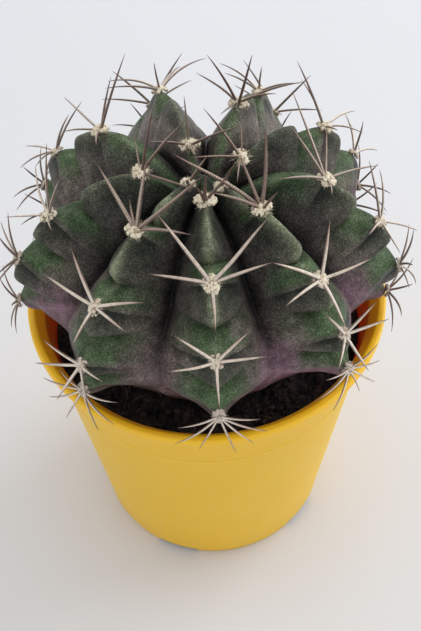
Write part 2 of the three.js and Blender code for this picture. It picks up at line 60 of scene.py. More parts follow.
def standing(place, right, up, back):
    """The matrix of an object, from its place in millimetres and its own three axes."""
    columns = np.column_stack([right, up, back, np.array(place) * MM])
    return Matrix(np.vstack([columns, [0, 0, 0, 1]]))


def make_camera():
    """The photograph's view: turned by yaw, tipped down by pitch, then rolled about its own axis."""
    pitch, yaw, roll = np.radians([CAMERA_PITCH, CAMERA_YAW, CAMERA_ROLL])
    ahead = np.array([np.sin(yaw) * np.cos(pitch), np.cos(yaw) * np.cos(pitch), -np.sin(pitch)])
    level = np.array([np.cos(yaw), -np.sin(yaw), 0.0])
    above = np.cross(level, ahead)
    right = np.cos(roll) * level + np.sin(roll) * above
    up = -np.sin(roll) * level + np.cos(roll) * above
    data = bpy.data.cameras.new("camera")
    data.sensor_fit = "VERTICAL"
    data.sensor_height = SENSOR
    data.lens = SENSOR * FOCAL_PX / FRAME_HEIGHT_PX
    data.clip_start = NEAREST * MM
    camera = in_scene("camera", data)
    camera.matrix_world = standing(CAMERA_PLACE, right, up, -ahead)
    bpy.context.scene.camera = camera


# ------------------------------------------------------------------ shape helpers
LATTICE_SIDE = 32                 # random numbers along each side of the lattice that repeats


def ease(a, b, x):
    """Smooth step from 0 at a to 1 at b."""
    t = np.clip((x - a) / (b - a), 0, 1)
    return t * t * (3 - 2 * t)


def mix(a, b, t):
    """The value at share t of the way from a to b."""
    return a + (b - a) * t


def soft_max(a, b, width):
    """Larger of two arrays, with the step between them rounded over a width."""
    t = np.clip(0.5 + (a - b) / (2 * width), 0, 1)
    return mix(b, a, t) + width * t * (1 - t)


def unit(vectors):
    """The vectors brought to length one."""
    return vectors / np.linalg.norm(vectors, axis=-1, keepdims=True)


def round_angles(count):
    """So many equal steps round a circle, in radians."""
    return 2 * np.pi * np.arange(count) / count


def lumps(points, size, seed):
    """Smooth random values from 0 to 1: a seeded lattice of numbers, blended between its points."""
    lattice = np.random.default_rng(seed).random((LATTICE_SIDE,) * 3)
    place = np.asarray(points) / size
    cell = np.floor(place).astype(int)
    part = place - cell
    part = part * part * (3 - 2 * part)
    total = np.zeros(place.shape[:-1])
    for corner in itertools.product((0, 1), repeat=3):
        share = np.prod(np.abs(1 - np.array(corner) - part), axis=-1)
        index = (cell + corner) % LATTICE_SIDE
        total += share * lattice[index[..., 0], index[..., 1], index[..., 2]]
    return total


def swells(points, *waves):
    """Random swells round zero: the sum of the lumps of several (height, size, seed)."""
    return sum(height * (lumps(points, size, seed) - 0.5) for height, size, seed in waves)


def grid_faces(rows, columns, start=0):
    """Quads of a grid of points, row after row, whose last column joins its first."""
    row, column = np.meshgrid(np.arange(rows - 1), np.arange(columns), indexing="ij")
    beside = (column + 1) % columns
    corners = [row * columns + column, (row + 1) * columns + column,
               (row + 1) * columns + beside, row * columns + beside]
    return start + np.stack(corners, -1).reshape(-1, 4)


def closed_faces(count, rows, columns):
    """Faces of many equal grids, each with a cap on its first and its last row."""
    size = rows * columns
    faces = []
    for start in range(0, count * size, size):
        faces.extend(grid_faces(rows, columns, start).tolist())
        faces.append(list(range(start, start + columns)))
        faces.append(list(range(start + size - 1, start + size - columns - 1, -1)))
    return faces


def turned(section, columns):
    """A section of (radius, height) points, from its foot up, turned round the axis: a row of points
    for each of them, and the faces."""
    turn = round_angles(columns)
    radius = section[:, :1]
    points = np.stack([radius * np.cos(turn), radius * np.sin(turn), section[:, 1:] + 0 * turn], -1)
    return points, [face[::-1] for face in closed_faces(1, len(section), columns)]


def ball(rows, columns, cap):
    """Points of a ball of radius one, in rows that leave out a cap, in radians, at each pole."""
    polar = np.linspace(cap, np.pi - cap, rows)[:, None]
    azimuth = round_angles(columns)[None, :]
    return np.stack([np.sin(polar) * np.cos(azimuth), np.sin(polar) * np.sin(azimuth),
                     np.cos(polar) + 0 * azimuth], -1).reshape(-1, 3)


def tubes(paths, radii, sides, reference, section=1.0):
    """Round strands along many paths at once. paths is (strand, step, 3), radii (strand, step),
    and reference, (strand, 3), is the direction that the first point of each ring looks in.
    section scales the radius round the ring. Returns points and faces."""
    count, steps = paths.shape[:2]
    along = unit(np.gradient(paths, axis=1))
    across = unit(np.cross(along, reference[:, None, :]))
    over = np.cross(across, along)
    turn = round_angles(sides)
    ring = (over[:, :, None, :] * (section * np.cos(turn))[:, None]
            - across[:, :, None, :] * (section * np.sin(turn))[:, None])
    points = paths[:, :, None, :] + radii[:, :, None, None] * ring
    return points.reshape(-1, 3), closed_faces(count, steps, sides)


def mesh_of(name, points, faces):
    """A mesh from points in millimetres."""
    mesh = bpy.data.meshes.new(name)
    mesh.from_pydata((np.asarray(points).reshape(-1, 3) * MM).tolist(), [], faces)
    return mesh


def make_piece(name, points, faces, material, nodes=(), values=None, smooth=True):
    """One object of the plant or its pot. It rides on the only body. values holds a number for each
    point, by name, for the material to read."""
    mesh = mesh_of(name, points, faces)
    for key, numbers in (values or {}).items():
        layer = mesh.attributes.new(key, "FLOAT", "POINT")
        layer.data.foreach_set("value", np.ascontiguousarray(numbers, dtype=np.float32).ravel())
    mesh.polygons.foreach_set("use_smooth", np.full(len(mesh.polygons), smooth))
    mesh.materials.append(material)
    mesh.update()
    piece = in_scene(name, mesh)
    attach(piece, "root")
    if nodes:
        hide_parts(*nodes)
    return piece


# ------------------------------------------------------------------ material helpers
def feed(tree, node, inputs):
    """Gives a node its inputs, each as a value or as a socket to link."""
    for key, value in inputs.items():
        if isinstance(value, bpy.types.NodeSocket):
            tree.links.new(value, node.inputs[key])
        else:
            node.inputs[key].default_value = value


def add(tree, kind, inputs=None, **settings):
    """A new node with its settings and its inputs."""
    made = tree.nodes.new(kind)
    for key, value in settings.items():
        setattr(made, key, value)
    feed(tree, made, inputs or {})
    return made


def maths(tree, operation, a, b=0.0, clamp=False):
    """One step of arithmetic on two values."""
    return add(tree, "ShaderNodeMath", {0: a, 1: b}, operation=operation, use_clamp=clamp).outputs[0]


def times(tree, a, b):
    """Product of two values."""
    return maths(tree, "MULTIPLY", a, b)


def span(tree, value, low, high, to_low=0.0, to_high=1.0):
    """value carried from one range to another, and held inside it."""
    inputs = {"Value": value, "From Min": low, "From Max": high, "To Min": to_low, "To Max": to_high}
    return add(tree, "ShaderNodeMapRange", inputs, interpolation_type="SMOOTHSTEP").outputs["Result"]


def blend_colour(tree, share, first, second, how="MIX"):
    """A share of the way from the first colour to the second, or another way to join them."""
    inputs = {0: share, 6: first, 7: second}
    for socket in (6, 7):
        if isinstance(inputs[socket], tuple):
            inputs[socket] = (*inputs[socket], 1.0)
    return add(tree, "ShaderNodeMix", inputs, data_type="RGBA", blend_type=how).outputs[2]


def tinted(tree, colour, mask, strength, tint):
    """The colour under a tint that shows where the mask does."""
    return blend_colour(tree, times(tree, mask, strength), colour, tint)


def shaded(tree, colour, share, by):
    """A share of the colour multiplied by another colour."""
    return blend_colour(tree, share, colour, by, "MULTIPLY")


def grey(tree, value):
    """A colour of three equal values."""
    return add(tree, "ShaderNodeCombineColor", dict.fromkeys(("Red", "Green", "Blue"), value)).outputs[0]


def noise(tree, vector, scale, detail=3.0, roughness=0.55):
    """Cloudy values from 0 to 1."""
    inputs = {"Vector": vector, "Scale": scale, "Detail": detail, "Roughness": roughness}
    return add(tree, "ShaderNodeTexNoise", inputs).outputs["Fac"]


def painted(name):
    """A fresh material: its tree, its shader and its Object coordinates."""
    material = bpy.data.materials.new(name)
    material.use_nodes = True
    tree = material.node_tree
    place = add(tree, "ShaderNodeTexCoord").outputs["Object"]
    return material, tree, tree.nodes["Principled BSDF"], place


def read(tree, name):
    """A number that the mesh holds for each of its points."""
    return add(tree, "ShaderNodeAttribute", attribute_name=name).outputs["Fac"]


def bumped(tree, shader, height, distance, strength=1.0):
    """Fine relief: the height of a bump, in metres at full height."""
    inputs = {"Height": height, "Distance": distance, "Strength": strength}
    tree.links.new(add(tree, "ShaderNodeBump", inputs).outputs["Normal"], shader.inputs["Normal"])


def new_group(name, inputs, outputs):
    """An empty shader group that reads places, with a number for each of its inputs."""
    tree = bpy.data.node_groups.new(name, "ShaderNodeTree")
    tree.interface.new_socket(name="Vector", in_out="INPUT", socket_type="NodeSocketVector")
    for key, value in inputs.items():
        socket = tree.interface.new_socket(name=key, in_out="INPUT", socket_type="NodeSocketFloat")
        socket.default_value = value
    for key in outputs:
        tree.interface.new_socket(name=key, in_out="OUTPUT", socket_type="NodeSocketFloat")
    return tree, tree.nodes.new("NodeGroupInput").outputs, tree.nodes.new("NodeGroupOutput").inputs


def make_speckle_group():
    """Small round dots, each of its own size, on a share of a cell pattern."""
    tree, given, out = new_group("speckles", {"Per Metre": 1000.0, "Size": 0.2, "Share": 0.5},
                                 ["Mask", "Shade"])
    cells = add(tree, "ShaderNodeTexVoronoi", {"Vector": given["Vector"], "Scale": given["Per Metre"]})
    split = add(tree, "ShaderNodeSeparateColor", {"Color": cells.outputs["Color"]})
    chosen = maths(tree, "LESS_THAN", split.outputs["Red"], given["Share"])
    reach = times(tree, given["Size"], maths(tree, "ADD", split.outputs["Green"], 0.4))
    near = maths(tree, "SUBTRACT", 1.0, maths(tree, "DIVIDE", cells.outputs["Distance"], reach), True)
    tree.links.new(times(tree, span(tree, near, 0.0, 0.5), chosen), out["Mask"])
    tree.links.new(split.outputs["Blue"], out["Shade"])
    return tree


def make_grain_group():
    """Fine uneven grain: a coarse and a fine noise, as a value round 0.5 and as a height."""
    tree, given, out = new_group("grain", {"Per Metre": 1000.0, "Contrast": 1.0}, ["Value", "Height"])
    coarse = add(tree, "ShaderNodeTexNoise", {"Vector": given["Vector"], "Detail": 2.0,
                                              "Scale": times(tree, given["Per Metre"], 0.3)})
    fine = noise(tree, given["Vector"], given["Per Metre"], 4.0, 0.65)
    both = maths(tree, "ADD", times(tree, coarse.outputs["Fac"], 0.5), times(tree, fine, 0.5))
    centred = times(tree, maths(tree, "SUBTRACT", both, 0.5), given["Contrast"])
    tree.links.new(maths(tree, "ADD", centred, 0.5, True), out["Value"])
    tree.links.new(fine, out["Height"])
    return tree


SPECKLES = make_speckle_group()
GRAIN = make_grain_group()


def placed(tree, group, place, inputs):
    """A shared group placed in a material with its own values."""
    return add(tree, "ShaderNodeGroup", {"Vector": place, **inputs}, node_tree=group).outputs


# ------------------------------------------------------------------ the plant's form
POT_HEIGHT = 77.0
GIRTH_RADIUS = 44.0
GIRTH_HEIGHT = POT_HEIGHT + 9.4
DOME_HEIGHT = 37.1
BOWL_DEPTH = 28.0
CROWN_DIP = 9.0
CROWN_DIP_ANGLE = 18.0
CROWN_TILT = 0.45
CROWN_TILT_AZIMUTH = 65.0
FURROW_DEPTH = 7.6
FURROW_EXTRA = 6.4
FURROW_EXTRA_AT = 48.0
FURROW_EXTRA_SPREAD = 25.0
NOSE_HEIGHT = 8.2
NOSE_HEIGHT_LOW = 6.2
GIRTH_TUCK = 1.6
CREST_SINK = 0.3
BROW_ROUND = 0.16
CHIN_SWELL = 1.0
CHIN_SWELL_LOW = 0.5
CHIN_POWER = 6
CHIN_SWEEP = 0.5
KEEL = 1.8
KEEL_WIDTH = 2.3
LOWER_NOSES = (50, 84)            # polar angles between which the noses take their low shape
FLANK_POWER = 1.38
FLANK_POWER_LOW = 1.62
HEM_POWER = 1.7
CROSS_FOLD = 2.4
FOLD_AT = 0.6
CREST_BLEND = 1.4
# The painted shade under an areole fills about this share of its chin.
UNDER_AREOLE = 0.60               # share of a chin, from its areole, that is darkest
CREASE_BLEND = 0.9
CREASE_WIDTH = 0.35               # height between two noses over which their crease fades
FAR_BELOW = -1000.0
CHIN_SHARE = 0.78
CHIN_SHARE_LOW = 0.62
FIRST_BROW = 0.6
GAP_ABOVE = 20
GAP_BELOW = 15
FULL_NOSE_GAP = 24
LEAST_NOSE = 0.4
FOOT_RADIUS = 31.5
FOOT_MIDDLE = POT_HEIGHT + 3
FOOT_DEPTH = 21.0
FOOT_FROM = 104.0
FOOT_ROUND = 128.0
LEAN_SPREAD = 20.0
# The crown's dark is partly the young skin's colour and partly painted shade.
SOONEST = 28                      # degrees by which the back ribs lose the crown's dark sooner

# Ribs in turn round the plant: azimuth, how far it leans near the crown, the polar angles of
# its areoles from the crown down, how strongly its lowest belt is mauve, by how many degrees its
# flanks lose the dark of the crown sooner, that dark being partly painted shade, and how strongly
# its keel's pale skin and painted highlight show.
RIBS = [
    (272, 0, [17, 41.8, 64.5, 85.5], 0.5, 0, 1.3),
    (312, -14, [11, 25.5, 51.5, 71.5, 87], 1.0, 0, 1.7),
    (351, 0, [36.5, 60.5, 82.5, 100], 0.6, 0, 0.7),
    (391, -14, [14, 47, 71, 89, 101], 0.8, 8, 0.8),
    (424.6, 0, [28, 47.5, 73, 89, 101], 0.9, SOONEST, 0.8),
    (466, 0, [13, 46, 68, 86, 100], 0.9, SOONEST, 0.8),
    (509, 0, [35, 60.5, 82, 97], 0.9, 8, 0.8),
    (550.6, 10, [18, 48.5, 69.5, 92], 0.9, 0, 0.7),
    (592, 12, [9, 31, 55.5, 76.5, 89], 0.2, 0, 1.3),
]


def rib_azimuth(rib, polar):
    """Azimuth of a rib's crest: its own, with a lean that dies out away from the crown."""
    return rib[0] + rib[1] * np.exp(-(polar / LEAN_SPREAD) ** 2)


def crest_point(polar):
    """Radius, height, outward direction and millimetres for each radian on the globe of the crests:
    an upper and a lower half ellipse turned round the pot's axis."""
    angle = np.radians(polar)
    half = np.where(polar < 90, DOME_HEIGHT, BOWL_DEPTH)
    out_r = np.sin(angle) / GIRTH_RADIUS
    out_z = np.cos(angle) / half
    size = np.hypot(out_r, out_z)
    pace = np.hypot(GIRTH_RADIUS * np.cos(angle), half * np.sin(angle))
    return (GIRTH_RADIUS * np.sin(angle), GIRTH_HEIGHT + half * np.cos(angle),
            out_r / size, out_z / size, pace)


def nose_rise(polar):
    """Height of a nose over the crease below it."""
    return mix(NOSE_HEIGHT, NOSE_HEIGHT_LOW, ease(*LOWER_NOSES, polar))


def chin_share(polar):
    """Share of the way from one areole to the next that its chin takes."""
    return mix(CHIN_SHARE, CHIN_SHARE_LOW, ease(15, 60, polar))


def chin_swell(polar):
    """Height of a chin's swelling over the areole."""
    return mix(CHIN_SWELL, CHIN_SWELL_LOW, ease(*LOWER_NOSES, polar))


def rib_surface(rib, polar, offset, share, azimuth):
    """Height of the skin over the globe of the crests beside one rib, and what lies there.
    Each areole sits on a nose: its brow slopes up from the crease above, and its chin swells and
    then drops to the crease below, sooner at the sides. The skin is the lower of this line of
    noses and of the rib's flank, which falls from a keel on the crest to the furrow."""
    crest = crest_point(polar)
    shoulder = np.exp(-((polar - FURROW_EXTRA_AT) / FURROW_EXTRA_SPREAD) ** 2)
    depth = (FURROW_DEPTH + FURROW_EXTRA * shoulder) * ease(0, 15, polar)
    level = (nose_rise(polar) + CREST_SINK) * ease(0, 12, polar)
    across = np.abs(crest[0] * np.radians(offset))
    share = np.clip(share, 0, 1)
    best = np.full(across.shape, FAR_BELOW)
    second = best.copy()
    brow_here = np.zeros(across.shape)
    under_here = np.zeros(across.shape)
    for j, angle in enumerate(rib[2]):
        before = angle - rib[2][j - 1] if j else GAP_ABOVE
        after = rib[2][j + 1] - angle if j + 1 < len(rib[2]) else GAP_BELOW
        per_degree = np.radians(crest_point(np.array(float(angle)))[4])
        brow = per_degree * (before * (1 - chin_share(angle)) if j else angle * FIRST_BROW)
        chin = per_degree * after * chin_share(angle)
        room = min(before, after) / FULL_NOSE_GAP
        rise = nose_rise(angle) * np.clip(mix(LEAST_NOSE, 1, room), 0, 1)
        along = per_degree * (polar - angle)
        up = np.maximum(-along, 0) / brow
        down = np.maximum(along + CHIN_SWEEP * across * ease(0, 2, along), 0) / chin
        height = (chin_swell(angle) * np.sin(np.pi * np.clip(down, 0, 1))
                  - rise * np.minimum(down, 3) ** CHIN_POWER
                  - rise * (np.hypot(up, BROW_ROUND) - BROW_ROUND))
        taken = height > best
        under_here = np.where(taken, np.exp(-(down / UNDER_AREOLE) ** 2) * (along > 0), under_here)
        second = np.where(taken, best, np.maximum(second, height))
        brow_here = np.where(taken, ease(0.0, 0.35, up) * (1 - ease(1.3, 2.6, up)), brow_here)
        best = np.where(taken, height, best)
    noses = soft_max(best, -level, CREASE_BLEND)
    power = mix(FLANK_POWER, FLANK_POWER_LOW, ease(45, 70, polar))
    valley = mix(share ** power, 1 - (1 - share) ** HEM_POWER, ease(78, 92, polar))
    keel = KEEL * (1 - np.exp(-(across / KEEL_WIDTH) ** 2)) * ease(5, 20, polar)
    near_crest = share ** FOLD_AT
    fold = CROSS_FOLD * np.clip(-noses / nose_rise(polar), 0, 1) ** 2 * 4 * near_crest * (1 - near_crest)
    flank = -np.maximum(depth - keel, 0) * valley - keel - fold * ease(5, 25, polar)
    height = CREST_BLEND / 4 - soft_max(-flank, -noses, CREST_BLEND)
    tilt = CROWN_TILT * ease(0, 16, polar) * np.cos(np.radians(azimuth - CROWN_TILT_AZIMUTH))
    height = height - CROWN_DIP * (1 + tilt) * np.exp(-(polar / CROWN_DIP_ANGLE) ** 2)
    height = height - GIRTH_TUCK * ease(84, 98, polar)
    crease = np.exp(-np.abs(best - second) / CREASE_WIDTH) * ease(-0.5, 1.0, flank - noses)
    return height, brow_here, under_here, crease


def skin_point(polar, azimuth, height):
    """Place of the skin, with the plain round foot taking over from the ribs below."""
    radius, z, out_r, out_z, _ = crest_point(polar)
    foot = ease(FOOT_FROM, FOOT_ROUND, polar)
    angle = np.radians(polar)
    r = mix(np.maximum(radius + height * out_r, 0), FOOT_RADIUS * np.sin(angle), foot)
    z = mix(z + height * out_z, FOOT_MIDDLE + FOOT_DEPTH * np.cos(angle), foot)
    turn = np.radians(azimuth)
    return np.stack([r * np.cos(turn), r * np.sin(turn), z], -1)


KEEL_HIGHLIGHT_WIDTH = 1.4
KEEL_HIGHLIGHT_CORE_WIDTH = KEEL_HIGHLIGHT_WIDTH / 2.4
TINT_SHIFT = ((0.8, 6.5, 14), (0.5, 2.6, 15))


def skin_tints(polar, share, across, brow, under, crease, belt, sooner, keel_pale_and_lit, points):
    """How strongly each tint of the skin shows, from 0 to about 1: keel, pale skin with a painted
    highlight, in a wide and a narrow band along each crest, on the chins, most on the ribs given a
    strong keel; under, painted shade just below each areole; green on the brows, out to the middle
    of the flank; brown on the flanks; mauve on the lowest belt, which climbs beside the furrows;
    dark, painted shade in the furrows, most of all at the crown, and in the creases; grown away from
    the crown, and later on the flanks, so that the darker young skin near the crown is partly its
    own colour and partly painted shade; pale beside the crests of the ribs that lose the crown's
    dark sooner. Slow random lumps move the edges of them all."""
    shift = swells(points, *TINT_SHIFT)
    # keel: pale skin along each crest with a painted highlight on it
    keel = 0.65 * np.exp(-(across / KEEL_HIGHLIGHT_WIDTH) ** 2) + 0.5 * np.exp(-(across / KEEL_HIGHLIGHT_CORE_WIDTH) ** 2)
    keel = keel * keel_pale_and_lit * (1 - 0.6 * brow) * (1 - 0.3 * under)
    keel = keel * ease(11, 20, polar) * mix(1.0, 0.4, ease(46, 76, polar)) * (1 + 1.4 * shift)
    keel = np.clip(keel, 0, 1.2)
    green = np.clip(brow + 0.4 * shift, 0, 1) * (1 - ease(0.15, 0.85, share + 0.6 * shift))
    brown = ease(0.2, 0.7, share + 0.6 * shift) * ease(16, 34, polar + sooner)
    mauve = belt * ease(74, 92, polar + 26 * (share - 0.35) + 12 * shift) * (1 - 0.5 * green)
    # furrow: painted shade deep in the furrows, along their floors and on the flanks near the crown
    furrow = (0.88 * ease(0.66, 0.98, share) * (1 - ease(54, 84, polar + 10 * shift))
              + 0.35 * ease(0.88, 1.0, share) * (1 - ease(80, 92, polar))
              + 0.62 * ease(0.15, 0.6, share) * (1 - ease(12, 34, polar)))
    # dark: painted shade of the furrows, the crown's hollows and the creases
    dark = np.clip(np.maximum(furrow, 0.95 * crease ** 0.5), 0, 1)
    # grown: the young skin near the crown keeps darker colours, partly its own and partly painted shade of
    # the crown's hollows
    grown = ease(24, 46, polar + sooner - 20 * ease(0.15, 0.55, share) + 10 * shift)
    # under: painted shade on the chin just below each areole
    under = under * (1 - ease(0.3, 0.85, share + 0.4 * shift)) * ease(16, 28, polar)
    under = under * (1 - 0.75 * np.clip(keel, 0, 1))
    pale = sooner / SOONEST * ease(0.12, 0.42, share + 0.5 * shift) * (1 - 0.7 * green)
    return {"keel": keel, "green": green, "brown": brown, "mauve": mauve, "dark": dark,
            "grown": grown, "under": under, "pale": pale}


SKIN_COLUMNS = 42                 # on one rib
SKIN_ROWS = ((0, FOOT_FROM, 222), (FOOT_FROM, FOOT_ROUND, 18), (FOOT_ROUND, 180, 8))
SKIN_LUMPS = ((0.34, 5.0, 11), (0.16, 1.7, 12))
FOLD_HEIGHT = 0.10
FOLD_PACE = 2.1                   # radians of the folds' wave in each millimetre of height
CREASE_CUT = 0.5                  # depth of the sharp line in each crease


def make_skin(material):
    """The whole plant body: a grid of polar angle and azimuth whose columns follow the ribs and the
    furrows. Its height is that of the rib nearer by, with shallow lumps, wavy folds on the lower
    flanks and a sharp line in each crease added. The tints come from the same grid."""
    rows = np.concatenate([np.linspace(*stretch, endpoint=False) for stretch in SKIN_ROWS])[1:]
    polar = rows[:, None]
    whole_turn = 360
    rib_step = whole_turn / len(RIBS)
    stretches = []
    for k, rib in enumerate(RIBS):
        following = RIBS[(k + 1) % len(RIBS)]
        start = rib_azimuth(rib, polar)
        end = rib_azimuth(following, polar)
        end = end + whole_turn * np.round((start + rib_step - end) / whole_turn)
        part = (np.arange(SKIN_COLUMNS) / SKIN_COLUMNS)[None, :]
        azimuth = mix(start, end, part)
        gap = end - start
        first = rib_surface(rib, polar, part * gap, 2 * part, azimuth)
        other = rib_surface(following, polar, (part - 1) * gap, 2 * (1 - part), azimuth)
        nearer = part <= 0.5
        found = [np.where(nearer, a, b) for a, b in zip(first, other)]
        share = np.where(nearer, 2 * part, 2 * (1 - part)) + 0 * polar
        tints = [mix(rib[i], following[i], ease(0.2, 0.8, part)) + 0 * polar for i in (3, 4, 5)]
        stretches.append([azimuth, *found, share, share * gap / 2, *tints])
    azimuth, height, brow, under, crease, share, aside, belt, sooner, keel_pale_and_lit = (
        np.concatenate(s, 1) for s in zip(*stretches))
    full = polar + 0 * azimuth
    points = skin_point(full, azimuth, height)
    soft = swells(points, *SKIN_LUMPS)
    folds = np.sin(points[..., 2] * FOLD_PACE + 5 * lumps(points, 9.0, 13)) * ease(55, 75, full)
    folds = FOLD_HEIGHT * folds * ease(0.15, 0.6, share) * (1 - ease(96, 110, full))
    height = height + (soft + folds) * ease(3, 12, full) - CREASE_CUT * crease
    points = skin_point(full, azimuth, height)
    count = points.shape[1]
    top = skin_point(0.0, 0.0, height[0].mean())
    bottom = skin_point(180.0, 0.0, 0.0)
    flat = np.concatenate([top[None], points.reshape(-1, 3), bottom[None]])
    faces = grid_faces(len(rows), count, 1).tolist()
    last = len(flat) - 1
    for c in range(count):
        beside = (c + 1) % count
        faces.append([0, 1 + c, 1 + beside])
        faces.append([last, last - count + beside, last - count + c])
    across = crest_point(full)[0] * np.radians(aside)
    values = skin_tints(full, share, across, brow, under, crease, belt, sooner, keel_pale_and_lit, points)
    for key, value in values.items():
        values[key] = np.concatenate([[value[0].mean()], value.ravel(), [value[-1].mean()]])
    make_piece("cactus_skin", flat, faces, material, ["cactus_body"], values)


# ------------------------------------------------------------------ areoles
NOSE_TILT = 12.0
ROOT_OUT = 0.55
ROOT_ASIDE = 0.35
SPINE_RADIUS = 0.38
YOUNG_BELOW = 33
OLD_FROM = 80
STOUT_RIBS = (0, 1, 8)            # the ribs whose spines are thick, in RIBS
SLENDER = 0.68                    # thickness of the other spines against these
FULL_LENGTH = 12.0                # of a spine that is as thick as its rib says
FINEST = 0.03                     # radius at the tip
SWAY = 0.02                       # a spine's wander to one side, of its length
RING_PACE = 11.0                  # radians of the rings' wave in each millimetre

# One spine is (clock, lift, length, bend): its direction round the areole from the crown, its
# angle off the skin, its length, and how far it has turned back towards the skin at its tip.
YOUNG_SPINES = [(-30, 62, 14, 8), (60, 58, 12, 10), (178, 66, 8, 5)]
GROWN_SPINES = [(-40, 40, 15, 14), (44, 40, 14.5, 14), (-92, 26, 11.5, 16), (88, 26, 12, 16),
                (180, 18, 8.5, 10)]
OLD_SPINES = [(-24, 46, 9, 30), (30, 44, 9.5, 30), (-72, 34, 10.5, 36), (76, 34, 10, 36),
              (-118, 28, 9.5, 34), (120, 28, 9, 34)]
OWN_SPINES = {
    "1_1": [(-145, 72, 7, 5), (175, 75, 12, 5), (100, 62, 9, 5)],
    "1_2": [(-40, 42, 18, 12), (52, 42, 18, 12), (-82, 25, 12.5, 14), (80, 28, 12.5, 14),
            (180, 16, 10, 8)],
    "1_3": [(-50, 30, 11, 14), (45, 35, 10.5, 14), (-95, 25, 10, 18), (85, 22, 10, 18), (180, 16, 9, 8)],
    "1_4": [(-88, 38, 9, 35), (-120, 25, 11, 40), (85, 35, 8.5, 35), (108, 30, 10.5, 40),
            (160, 25, 9, 30), (130, 30, 9, 30), (-145, 30, 8, 30), (10, 60, 6, 20)],
    "2_1": [(-160, 58, 7, 8), (150, 70, 8, 8)],
    "2_2": [(-32, 28, 21, 6), (-58, 35, 12, 8), (-5, 55, 12, 6), (35, 65, 17, 4), (170, 75, 8, 4)],
    "2_3": [(32, 38, 12, 10), (105, 25, 11, 10), (-45, 28, 13, 22), (-88, 14, 11, 10), (-165, 14, 11, 10)],
    "2_4": [(62, 35, 9, 12), (100, 30, 9.5, 12), (-120, 28, 8, 18), (180, 20, 9, 8), (-30, 30, 11, 14)],
    "2_5": [(112, 22, 8.5, 30), (145, 22, 10, 35), (-92, 20, 11, 35), (178, 25, 6, 20),
            (-118, 28, 9.5, 30), (-60, 28, 10, 30), (55, 40, 8, 30)],
    "3_1": [(-38, 26, 15, 20), (26, 45, 20, 6), (-4, 46, 17, 6), (150, 25, 12, 25), (55, 55, 11, 6),
            (-100, 40, 6, 50)],
    "3_2": [(8, 36, 16, 8), (46, 48, 11, 40), (170, 34, 9, 30), (-58, 16, 11, 10), (-115, 20, 9, 10)],
    "3_3": [(-2, 42, 12, 25), (42, 34, 9, 20), (-45, 34, 11, 15), (165, 22, 11, 35), (-95, 25, 7, 15)],
    "4_1": [(40, 60, 14, 6), (115, 62, 7, 30), (-12, 34, 14, 8), (-60, 34, 10, 45)],
    "4_2": [(12, 46, 20, 8), (40, 52, 12, 25), (165, 30, 12, 35), (-150, 30, 9, 40), (-55, 28, 10, 10)],
    "4_3": [(165, 36, 12, 30), (120, 30, 13, 20), (-10, 45, 11, 20), (80, 46, 10, 30)],
    "5_1": [(45, 64, 15, 12), (-32, 64, 19, 6), (80, 40, 11, 20), (-105, 40, 15, 25), (-70, 46, 12, 25),
            (0, 24, 11, 20)],
    "5_2": [(82, 40, 11, 35), (35, 30, 11, 20), (-60, 34, 13, 20), (-10, 58, 9, 20)],
    "6_1": [(-175, 74, 11, 4), (80, 35, 11, 10), (-40, 46, 17, 6), (8, 38, 7, 20)],
    "6_2": [(140, 26, 15, 35), (55, 26, 17, 18), (12, 62, 9, 15), (-108, 36, 14, 40), (-140, 26, 12, 30)],
    "7_1": [(-14, 56, 22, 4), (-34, 64, 13, 8), (-165, 40, 11, 12), (150, 30, 8, 35), (60, 26, 7, 40)],
    "7_2": [(-8, 36, 12, 20), (-38, 32, 13, 20), (-175, 35, 10, 20), (150, 30, 10, 40), (80, 26, 8, 35)],
    "8_1": [(-80, 64, 7, 20), (45, 78, 21, 6), (22, 58, 18, 6), (-10, 48, 11, 10), (60, 22, 16, 8)],
    "8_2": [(-165, 30, 9, 10), (-80, 45, 11, 40), (-4, 56, 19, 8), (28, 46, 17, 8), (80, 38, 7, 50)],
    "8_3": [(-12, 45, 12, 20), (25, 54, 12, 15), (75, 42, 12, 10), (120, 36, 9, 10), (-80, 34, 9, 20)],
    "8_4": [(0, 40, 9, 25), (170, 30, 8, 35), (105, 24, 8, 30), (50, 32, 7, 30), (-70, 32, 9, 30)],
    "9_1": [(155, 50, 8, 10), (60, 66, 8, 8)],
    "9_2": [(-65, 54, 15, 8), (-30, 74, 7, 15), (6, 64, 17, 6), (50, 44, 21, 4), (72, 24, 12, 30)],
    "9_3": [(-85, 22, 12, 8), (-35, 40, 13, 8), (62, 25, 13, 16), (95, 18, 10, 8), (180, 20, 9, 22)],
    "9_4": [(-68, 30, 9, 12), (-108, 30, 9.5, 12), (-168, 25, 9, 14), (85, 26, 7, 25), (135, 28, 7, 18)],
    "9_5": [(-92, 30, 9, 30), (-128, 26, 9.5, 30), (-165, 25, 9, 25), (95, 30, 11, 35), (130, 28, 9, 25),
            (68, 26, 11, 40), (-40, 36, 7, 30)],
}

SPINE_STEPS = 26
SPINE_SIDES = 10
GROOVE = 0.16                     # depth of the groove along the outer side, of the radius


def spines_of(name, angle):
    """The spines of an areole: its own where the photograph shows them, else a set for its age."""
    if name in OWN_SPINES:
        return OWN_SPINES[name]
    if angle < YOUNG_BELOW:
        return YOUNG_SPINES
    return GROWN_SPINES if angle < OLD_FROM else OLD_SPINES


